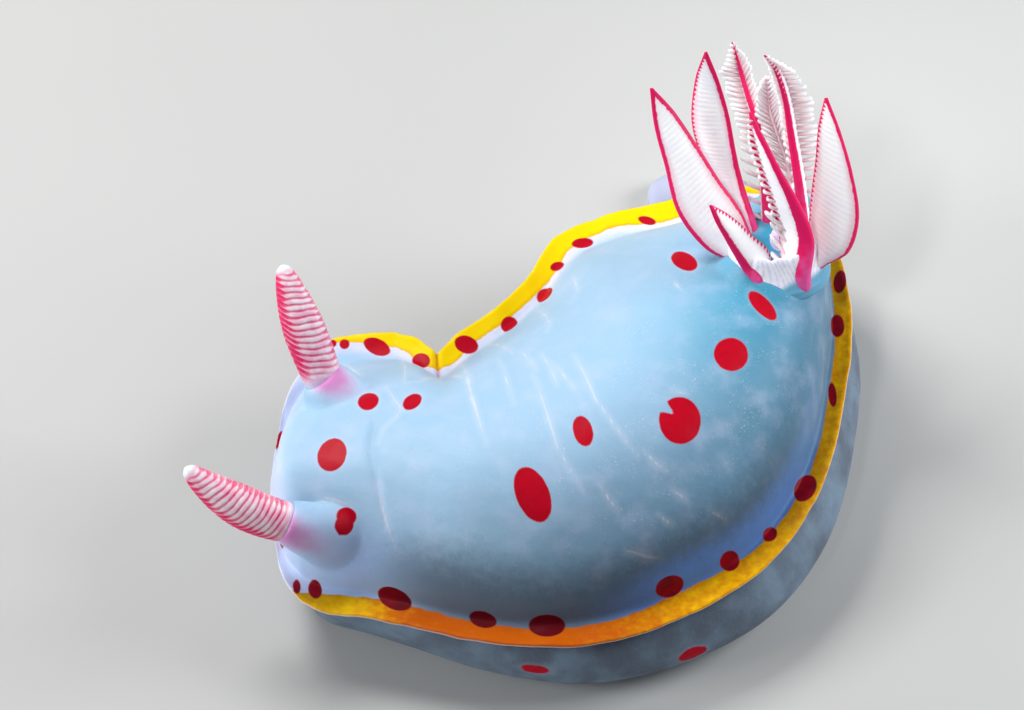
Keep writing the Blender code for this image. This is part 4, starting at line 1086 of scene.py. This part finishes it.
# Each plume's keel and free edge, from root to tip.
GILL_EDGES = {
    "gill_1": (
        (
            (8.25, 5.12, 9.68), (6.59, 5.48, 10.93), (5.25, 6.47, 12.46),
            (4.61, 7.92, 14.28), (4.08, 9.09, 15.9), (3.83, 10.07, 17.56),
        ),
        (
            (9.38, 5.59, 9.79), (8.52, 6.91, 11.8), (7.34, 7.87, 13.3),
            (6.31, 8.76, 14.68), (5.08, 9.75, 16.24), (3.99, 10.11, 17.57),
        ),
    ),
    "gill_2": (
        (
            (9.67, 6.26, 9.65), (8.61, 8.37, 12.32), (8.19, 9.27, 13.76),
            (7.82, 10.29, 15.31), (7.29, 11.13, 16.91), (6.65, 11.51, 18.62),
        ),
        (
            (8.75, 6.54, 9.3), (7.29, 8.53, 11.87), (6.43, 9.49, 13.37),
            (5.98, 10.45, 14.87), (6.12, 11.41, 16.73), (6.51, 11.54, 18.59),
        ),
    ),
    "gill_3": (
        (
            (9.99, 6.62, 9.54), (9.75, 8.98, 12.13), (9.4, 10.93, 13.81),
            (8.94, 12.03, 14.69), (8.49, 13.05, 15.73), (8.03, 13.6, 17.06),
        ),
        (
            (9.73, 7.1, 8.97), (9.52, 9.47, 11.56), (9.17, 11.36, 13.19),
            (8.72, 12.49, 14.11), (8.31, 13.37, 15.31), (7.97, 13.65, 17.01),
        ),
    ),
    "gill_4": (
        (
            (10.86, 7.23, 9.01), (11.03, 9.44, 11.6), (10.52, 10.55, 13.07),
            (10.08, 11.28, 14.18), (9.9, 11.56, 15.28), (9.68, 11.63, 16.76),
        ),
        (
            (10.73, 6.79, 9.49), (10.9, 9.02, 12.09), (10.38, 10.13, 13.56),
            (9.94, 10.85, 14.67), (9.78, 11.26, 15.62), (9.65, 11.59, 16.81),
        ),
    ),
    "gill_5": (
        (
            (11.67, 6.09, 9.85), (11.08, 8.46, 12.87), (10.71, 9.59, 14.82),
            (10.41, 10.25, 16.5), (9.93, 10.56, 18.17), (9.28, 10.2, 19.81),
        ),
        (
            (12.09, 6.44, 9.42), (11.64, 8.82, 12.46), (11.24, 9.95, 14.4),
            (10.91, 10.62, 16.09), (10.32, 10.92, 17.96), (9.42, 10.25, 19.78),
        ),
    ),
    "gill_6": (
        (
            (12.44, 4.66, 10.11), (13.73, 4.9, 11.29), (14.15, 5.75, 12.92),
            (13.81, 6.9, 14.69), (13.17, 8.22, 16.39), (12.49, 9.35, 17.69),
        ),
        (
            (11.39, 5.26, 10.19), (11.72, 6.03, 11.79), (11.81, 6.81, 13.37),
            (11.97, 7.7, 14.93), (12.07, 8.62, 16.44), (12.33, 9.37, 17.67),
        ),
    ),
    "gill_7": (
        (
            (11.74, 3.5, 10.85), (11.92, 4.68, 12.35), (11.17, 5.56, 14.07),
            (10.23, 6.31, 15.58), (9.39, 7.23, 16.94), (8.67, 8.16, 17.97),
        ),
        (
            (10.42, 4.37, 10.19), (10.23, 5.5, 12.17), (9.8, 6.24, 13.78),
            (9.29, 6.97, 15.26), (8.87, 7.63, 16.67), (8.58, 8.2, 17.92),
        ),
    ),
    "gill_8": (
        (
            (8.98, 3.3, 10.7), (8.48, 3.85, 11.11), (7.9, 4.18, 12.17),
            (7.42, 4.41, 13.14), (7.02, 4.59, 13.98), (6.68, 4.88, 14.82),
        ),
        (
            (10.0, 4.59, 10.2), (9.66, 5.03, 11.4), (8.9, 5.13, 12.28),
            (8.23, 5.23, 13.15), (7.52, 5.18, 13.99), (6.8, 4.97, 14.82),
        ),
    ),
}

# Half thickness, keel stripe's width at root and tip, free edge's stripe and how broken it is.
GILL_LOOKS = {
    "gill_1": (0.42, (0.7, 0.5), 0.56, 0.15),
    "gill_2": (0.36, (0.85, 0.5), 0.42, 0.8),
    "gill_3": (0.2, (0.75, 0.55), 0.0, 0.0),
    "gill_4": (0.16, (0.0, 0.0), 0.0, 0.0),
    "gill_5": (0.2, (0.95, 0.6), 0.0, 0.0),
    "gill_6": (0.4, (0.66, 0.46), 0.42, 0.9),
    "gill_7": (0.36, (2.1, 0.56), 0.5, 1.6),
    "gill_8": (0.34, (1.15, 0.5), 0.6, 1.6),
}

# Rows of leaflets: side of the blade, place from the free edge to the keel, how far they
# spread sideways, run on past the free edge and lean to the tip, their length, how fast they
# grow from the tip down, and their span.
GILL_ROWS = {
    "gill_1": (),
    "gill_2": (),
    "gill_3": (
        (1, 0.5, 1.0, 0.15, 0.75, 0.72, 4.5, (0.12, 0.98)),
        (-1, 0.5, 1.0, 0.15, 0.4, 0.97, 4.5, (0.12, 0.98)),
    ),
    "gill_4": (
        (1, 0.3, 1.0, 0.1, 0.9, 0.85, 4.5, (0.12, 0.98)),
        (-1, 0.3, 1.0, 0.1, 0.9, 0.75, 4.5, (0.12, 0.98)),
    ),
    "gill_5": (
        (1, 0.1, 0.6, 0.8, 0.12, 0.97, 2.7, (0.12, 0.98)),
        (-1, 0.7, 1.0, -0.3, 0.5, 0.42, 4.5, (0.3, 0.98)),
    ),
    "gill_6": (),
    "gill_7": (
        (-1, 0.15, 0.4, 1.0, 0.3, 0.36, 4.5, (0.28, 0.95)),
        (-1, 0.3, 0.3, 1.0, 0.8, 1.3, 4.5, (0.05, 0.28)),
    ),
    "gill_8": (),
}
DASHED_GILL = "gill_7"

# Section of a blade: half thicknesses to each side, and the place from free edge to keel.
GILL_SECTION = (
    (0.0, 1.0), (0.38, 0.97), (0.72, 0.88), (0.95, 0.73), (1.0, 0.56), (0.82, 0.32),
    (0.48, 0.12), (0.22, 0.02), (0.0, 0.0), (-0.22, 0.02), (-0.48, 0.12), (-0.82, 0.32),
    (-1.0, 0.56), (-0.95, 0.73), (-0.72, 0.88), (-0.38, 0.97),
)
GILL_THICKNESS = ((0.0, 1.55), (0.2, 1.2), (0.5, 0.85), (0.8, 0.5), (1.0, 0.12))
GILL_STATIONS = 180
GILL_SIDES = 64
ROOT_SHARE = 0.07
ROOT_DROP = 0.6
RIB_SPACING = 0.26
RIB_HEIGHT = 0.012
RIB_SLANT = 1.6
LEAFLET_SPACING = 0.37
LEAFLET_SINK = 0.18
LEAFLET_CURL = 0.16
LEAFLET_JITTER = 0.035
LEAFLET_HALF_WIDTH = 0.19
LEAFLET_HALF_THICK = 0.12
LEAFLET_SHARES = (0.0, 0.38, 0.74, 0.87, 0.94, 0.985)
LEAFLET_SIDES = 8
GILL_WHITE = (0.98, 0.97, 0.99)
GILL_LILAC = (0.78, 0.77, 0.93)
GILL_CRIMSON = (0.74, 0.012, 0.12)
GILL_PINK = (0.9, 0.4, 0.6)
LEAFLET_CLEAR = (0.88, 0.69, 0.71)
LEAFLET_ROSE = (0.7, 0.3, 0.45)
CUP_SKIN = (0.13, 0.35, 0.52)
CUP_FIBRE = (0.45, 0.52, 0.8)


def blade_frame(keel_line, free_line):
    """Share, points of both edges, direction to the tip, way across and way out of a blade.
    Both edges run on by a short drop below the root, so that it stands sunk in the cup."""
    share = np.linspace(0.0, 1.0, GILL_STATIONS)
    knots = np.append(0.0, np.linspace(ROOT_SHARE, 1.0, len(keel_line)))
    drop = unit(VENT_LINE) * ROOT_DROP
    keel = through(knots, [np.array(keel_line[0]) - drop, *keel_line], share)
    free = through(knots, [np.array(free_line[0]) - drop, *free_line], share)
    lines = unit(np.gradient(0.5 * (keel + free), axis=0))
    over = keel - free
    out = unit(np.cross(lines, over))
    return share, keel, free, lines, over, out


def blade_shell(frame_rows, looks):
    """Blade: its section between both edges, thinner to the tip, with ribs on its faces.
    The red field is how far inside a crimson stripe a point lies, in millimetres."""
    share, keel, free, lines, over, out = frame_rows
    half_thick, keel_widths, free_width, broken = looks
    width = np.linalg.norm(over, axis=1)
    length = np.linalg.norm(np.diff(keel + free, axis=0), axis=1).sum() * 0.5
    half = half_thick * through(*np.transpose(GILL_THICKNESS), share)
    half = np.minimum(half, 0.5 * width + 0.04)
    loop = np.array(GILL_SECTION + GILL_SECTION[:1])
    turn = np.linspace(0.0, 1.0, GILL_SIDES, endpoint=False)
    section = through(np.linspace(0.0, 1.0, len(loop)), loop, turn)
    slant = RIB_SLANT * (section[:, 1] - 0.5) * (1.0 - 0.6 * share[:, None])
    rib = (share * length / RIB_SPACING)[:, None] + slant
    core = np.sin(math.pi * np.clip(section[:, 1], 0.0, 1.0))
    face = core**0.7 * (0.3 + 0.7 * (1.0 - section[:, 1])) * np.sign(section[:, 0])
    ribs = RIB_HEIGHT * np.cos(2.0 * math.pi * rib) * face * np.minimum(1.0, 2.5 * width)[:, None]
    swell = (section[:, 0] * half[:, None] + ribs)[..., None]
    rings = free[:, None] + over[:, None] * section[:, 1:] + out[:, None] * swell
    pace = np.linalg.norm(np.roll(rings, -1, axis=1) - rings, axis=-1)
    around = np.cumsum(pace, axis=1) - pace
    keel_away = np.minimum(around, pace.sum(axis=1, keepdims=True) - around)
    middle = GILL_SIDES // 2
    free_away = np.abs(around - around[:, middle : middle + 1])
    stripe = keel_widths[0] + (keel_widths[1] - keel_widths[0]) * step(share, 0.0, 0.75)
    red = np.full(keel_away.shape, -1.0)
    if keel_widths[0] > 0.0:
        red = 0.5 * stripe[:, None] - keel_away
    if free_width > 0.0:
        dash = 0.5 * free_width - free_away - broken * 0.16 * (0.5 - 0.5 * np.cos(2.0 * math.pi * rib))
        red = np.maximum(red, dash)
    points = with_poles(rings)
    fields = {
        "red_mm": ended(red),
        "rib": ended(rib),
        "leaflet": np.zeros(len(points)),
        "core": ended(np.broadcast_to(core, red.shape)),
        "up": ended(np.broadcast_to(share[:, None], red.shape), 0.0, 1.0),
    }
    return points, outward(points, closed_faces(*rings.shape[:2])), fields


def leaflet_shells(frame_rows, half_thick, row, seed, dashed):
    """One row of leaflets: fingers of oval section with round ends, which start inside the
    blade and curve to its tip. All of the row's leaflets are worked out at once."""
    share, keel, free, lines, over, out = frame_rows
    hand, place, spread, past, lean, reach, growth, span = row
    length = np.linalg.norm(np.diff(keel + free, axis=0), axis=1).sum() * 0.5
    count = int((span[1] - span[0]) * length / LEAFLET_SPACING)
    at = np.linspace(*span, count)
    random = np.random.default_rng(seed)
    station = at * (len(share) - 1)
    low = np.clip(station.astype(int), 0, len(share) - 2)
    blend = (station - low)[:, None]
    here = [rows[low] * (1 - blend) + rows[low + 1] * blend for rows in (free, lines, over, out)]
    free, line, over, out = here
    size = np.minimum(1.0, 0.05 + growth * (1.0 - at)) * np.minimum(1.0, 0.6 + 2.0 * at)
    size = size * random.uniform(0.88, 1.1, count)
    half = half_thick * (1.0 - 0.7 * at**2)
    jitter = random.normal(0.0, LEAFLET_JITTER, (count, 3))
    away = unit(out * (hand * spread) - unit(over) * past + unit(line) * lean + jitter)
    flat = unit(unit(line) - away * (unit(line) * away).sum(axis=1, keepdims=True))
    broad = np.cross(flat, away)
    root = free + over * place + out * (hand * 0.5 * half)[:, None]
    t = np.array(LEAFLET_SHARES)
    plump = np.sqrt(1.0 - np.clip((t - 0.8) / 0.2, 0.0, 1.0) ** 2) * (0.7 + 0.4 * t)
    angle = np.linspace(0.0, 2.0 * math.pi, LEAFLET_SIDES, endpoint=False)
    stretch = ((reach * size + LEAFLET_SINK)[:, None] * t - LEAFLET_SINK)[..., None]
    curl = (LEAFLET_CURL * reach * size[:, None] * t**2)[..., None]
    spine = root[:, None] + away[:, None] * stretch + line[:, None] * curl
    scale = np.minimum(1.0, 0.45 + 0.55 * size)[:, None] * plump
    wide = (LEAFLET_HALF_WIDTH * scale)[..., None, None] * np.cos(angle)[:, None]
    thick = (LEAFLET_HALF_THICK * scale)[..., None, None] * np.sin(angle)[:, None]
    rings = spine[:, :, None] + broad[:, None, None] * wide + flat[:, None, None] * thick
    tips = root + (away + LEAFLET_CURL * line) * (reach * size)[:, None]
    per = len(t) * LEAFLET_SIDES + 2
    points = np.concatenate([rings.reshape(count, -1, 3), spine[:, :1], tips[:, None]], axis=1)
    one = outward(points[0], closed_faces(len(t), LEAFLET_SIDES))
    faces = [[corner + number * per for corner in face] for number in range(count) for face in one]
    along = ended(np.repeat(t, LEAFLET_SIDES), 0.0, 1.0)
    shape = (count, per)
    dash = 0.3 * ended(np.tile(np.sin(angle), len(t))) - 0.1 - 0.6 * np.abs(along - 0.55)
    dashed = dashed and span[1] > 0.5
    fields = {
        "red_mm": np.broadcast_to(dash if dashed else -1.0, shape).ravel(),
        "rib": np.zeros(shape).ravel(),
        "leaflet": np.broadcast_to(0.2 + 0.8 * along, shape).ravel(),
        "core": np.zeros(shape).ravel(),
        "up": np.broadcast_to(at[:, None], shape).ravel(),
    }
    return points.reshape(-1, 3), faces, fields


plume = Paint("gill_plume")
ragged = plume.noise(4.0, 3.0, 0.6) - 0.5
cloud = plume.noise(1.0, 3.0)
leaflet = plume.field("leaflet")
up = plume.field("up")
rib = (plume.field("rib").part() - 0.5).size()
white = (plume.field("core") + ragged * 0.3).rise(0.2, 0.75)
colour = plume.mix(white, LEAFLET_CLEAR, GILL_WHITE)
colour = plume.mix(cloud.rise(0.45, 0.8) * 0.4 + up.fall(0.0, 0.3) * 0.35, colour, GILL_LILAC)
colour = plume.mix(rib.rise(0.2, 0.45) * (1.0 - white) * (cloud + 0.2) * 0.22, colour, GILL_PINK)
finger = plume.mix(leaflet.rise(0.45, 0.95), LEAFLET_CLEAR, GILL_WHITE)
finger = plume.mix(leaflet.fall(0.25, 0.6) * (cloud.rise(0.35, 0.65) * 0.6 + 0.2), finger, LEAFLET_ROSE)
colour = plume.mix(leaflet.rise(0.1, 0.2), colour, finger)
red = (plume.field("red_mm") + ragged * 0.14).rise(-0.04, 0.03)
bleed = (plume.field("red_mm") + ragged * 0.3).rise(-0.25, 0.05) * 0.3
crimson = plume.mix(up.fall(0.05, 0.3) * cloud.rise(0.35, 0.6) * 0.6, GILL_CRIMSON, GLOW_MAGENTA)
colour = plume.mix(plume.field("cup") * (rib + ragged * 0.8).rise(0.15, 0.6) * 0.5, colour, CUP_FIBRE)
colour = plume.mix(plume.field("skin"), colour, CUP_SKIN)
colour = plume.mix(bleed, colour, GILL_PINK)
colour = plume.mix(red, colour, crimson)
PLUME_FLESH = {**FLESH, "Subsurface Weight": 0.1}
plume_paint = plume.finish(colour, 0.35, ((plume.noise(7.0, 2.0), 0.01),), PLUME_FLESH)

for number, (name, edges) in enumerate(GILL_EDGES.items()):
    frame_rows = blade_frame(*edges)
    shells = [blade_shell(frame_rows, GILL_LOOKS[name])]
    for row in GILL_ROWS[name]:
        seed = 10 * number + len(shells)
        shells.append(leaflet_shells(frame_rows, GILL_LOOKS[name][0], row, seed, name == DASHED_GILL))
    corners, faces = joined([shell[:2] for shell in shells])
    fields = {key: np.concatenate([shell[2][key] for shell in shells]) for key in shells[0][2]}
    gill = mesh_piece(name + "_plume", corners, faces, fields, plume_paint)
    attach(gill, "root")
    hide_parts(name)


# Gill cup: the low ring of thin white tissue that grows between the plumes' roots, with the
# vent's short soft tube in its middle. Its rim rises in a lobe behind each plume's root.

# Section of the ring: radius, height, and how far it rises with the rim's lobes.
CUP_PROFILE = (
    (0.3, -0.15, 0.0), (0.8, -0.15, 0.0), (1.3, 0.0, 0.1), (1.75, 0.15, 0.5), (2.02, 0.3, 0.9),
    (2.14, 0.36, 1.0), (2.22, 0.34, 1.0), (2.3, 0.2, 0.85), (2.36, -0.02, 0.5), (2.5, -0.4, 0.1),
    (2.68, -0.78, 0.0), (2.78, -1.05, 0.0), (2.6, -1.5, 0.0), (1.2, -1.8, 0.0), (0.3, -1.8, 0.0),
)
CUP_ROWS = 110
CUP_SIDES = 200
CUP_SHIFT = -0.3
CUP_FLARE = 0.16
CUP_WAVE = 0.03
CUP_LOBES = (197.0, 145.0, 115.0, 71.0, 22.0, 337.0, 301.0, 278.0, 254.0)
LOBE_HEIGHT = 0.5
LOBE_WIDTH = 20.0
CUP_OUTSIDE = 1.9
WHITE_FOOT = (-0.85, -0.45)

# Crimson patch where the nearest keel runs down: its angle, width, and lower and upper edge.
CUP_PATCH = (256.0, 1.5, -0.86, -0.6)

PAPILLA_RADII = (0.7, 0.55, 0.42, 0.46, 0.3)
PAPILLA_HEIGHT = 1.7
PAPILLA_DROP = 0.5
PAPILLA_ROWS = 30
PAPILLA_SIDES = 32


def degrees_from(turn, angle):
    """Degrees from an angle, between -180 and 180."""
    return (np.degrees(turn) - angle + 180.0) % 360.0 - 180.0


foot_point, _, _ = place_on_mantle(VENT_PLACE)
axis = unit(VENT_LINE)
right = unit(np.cross((0.0, 1.0, 0.0), axis))
back = np.cross(axis, right)
knots = np.linspace(0.0, 1.0, len(CUP_PROFILE))
profile = through(knots, CUP_PROFILE, np.linspace(0.0, 1.0, CUP_ROWS))
turn = np.linspace(0.0, 2.0 * math.pi, CUP_SIDES, endpoint=False)
lobes = [np.exp(-((degrees_from(turn, angle) / LOBE_WIDTH) ** 2)) for angle in CUP_LOBES]
rim_height = LOBE_HEIGHT * np.max(lobes, axis=0)
lift = profile[:, 2:]
radius = profile[:, :1] + CUP_FLARE * lift * rim_height + CUP_WAVE * np.sin(5.0 * turn)
height = profile[:, 1:2] + lift * rim_height
spread = right * np.cos(turn)[:, None] + back * np.sin(turn)[:, None]
centre = foot_point + right * CUP_SHIFT
rings = centre + spread * radius[..., None] + axis * height[..., None]
angle, wide, low, high = CUP_PATCH
sideways = np.radians(np.abs(degrees_from(turn, angle))) * radius
inside = np.minimum(0.5 * wide - sideways, np.minimum(height - low, high - height))
red = np.where(radius > CUP_OUTSIDE, inside, -1.0)
white_foot = WHITE_FOOT[0] + (WHITE_FOOT[1] - WHITE_FOOT[0]) * step(np.degrees(turn), 262.0, 292.0)
low_skin = (1.0 - step(height - white_foot, -0.2, 0.2)) * (radius > CUP_OUTSIDE)
fibre = turn * 9.0 + 0.7 * np.sin(5.0 * turn + 2.0 * height) + 0.9 * height * np.sin(3.0 * turn)
corners = with_poles(rings)
fields = {
    "red_mm": ended(red, -1.0, -1.0),
    "rib": ended(fibre),
    "leaflet": np.zeros(len(corners)),
    "core": np.full(len(corners), 0.75),
    "cup": np.ones(len(corners)),
    "up": np.zeros(len(corners)),
    "skin": ended(low_skin),
}
faces = outward(corners, closed_faces(*rings.shape[:2]))
cup = mesh_piece("gill_cup", corners, faces, fields, plume_paint)
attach(cup, "root")

t = np.linspace(0.0, 1.0, PAPILLA_ROWS)
path = foot_point - axis * PAPILLA_DROP + axis * (PAPILLA_HEIGHT * t)[:, None]
radii = through(np.linspace(0.0, 1.0, len(PAPILLA_RADII)), PAPILLA_RADII, t)
corners, faces = shell_of(tube_rings(path, radii, PAPILLA_SIDES))
papilla = mesh_piece("vent_papilla_flesh", corners, faces, {}, stem_paint)
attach(papilla, "root")
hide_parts("vent_papilla")
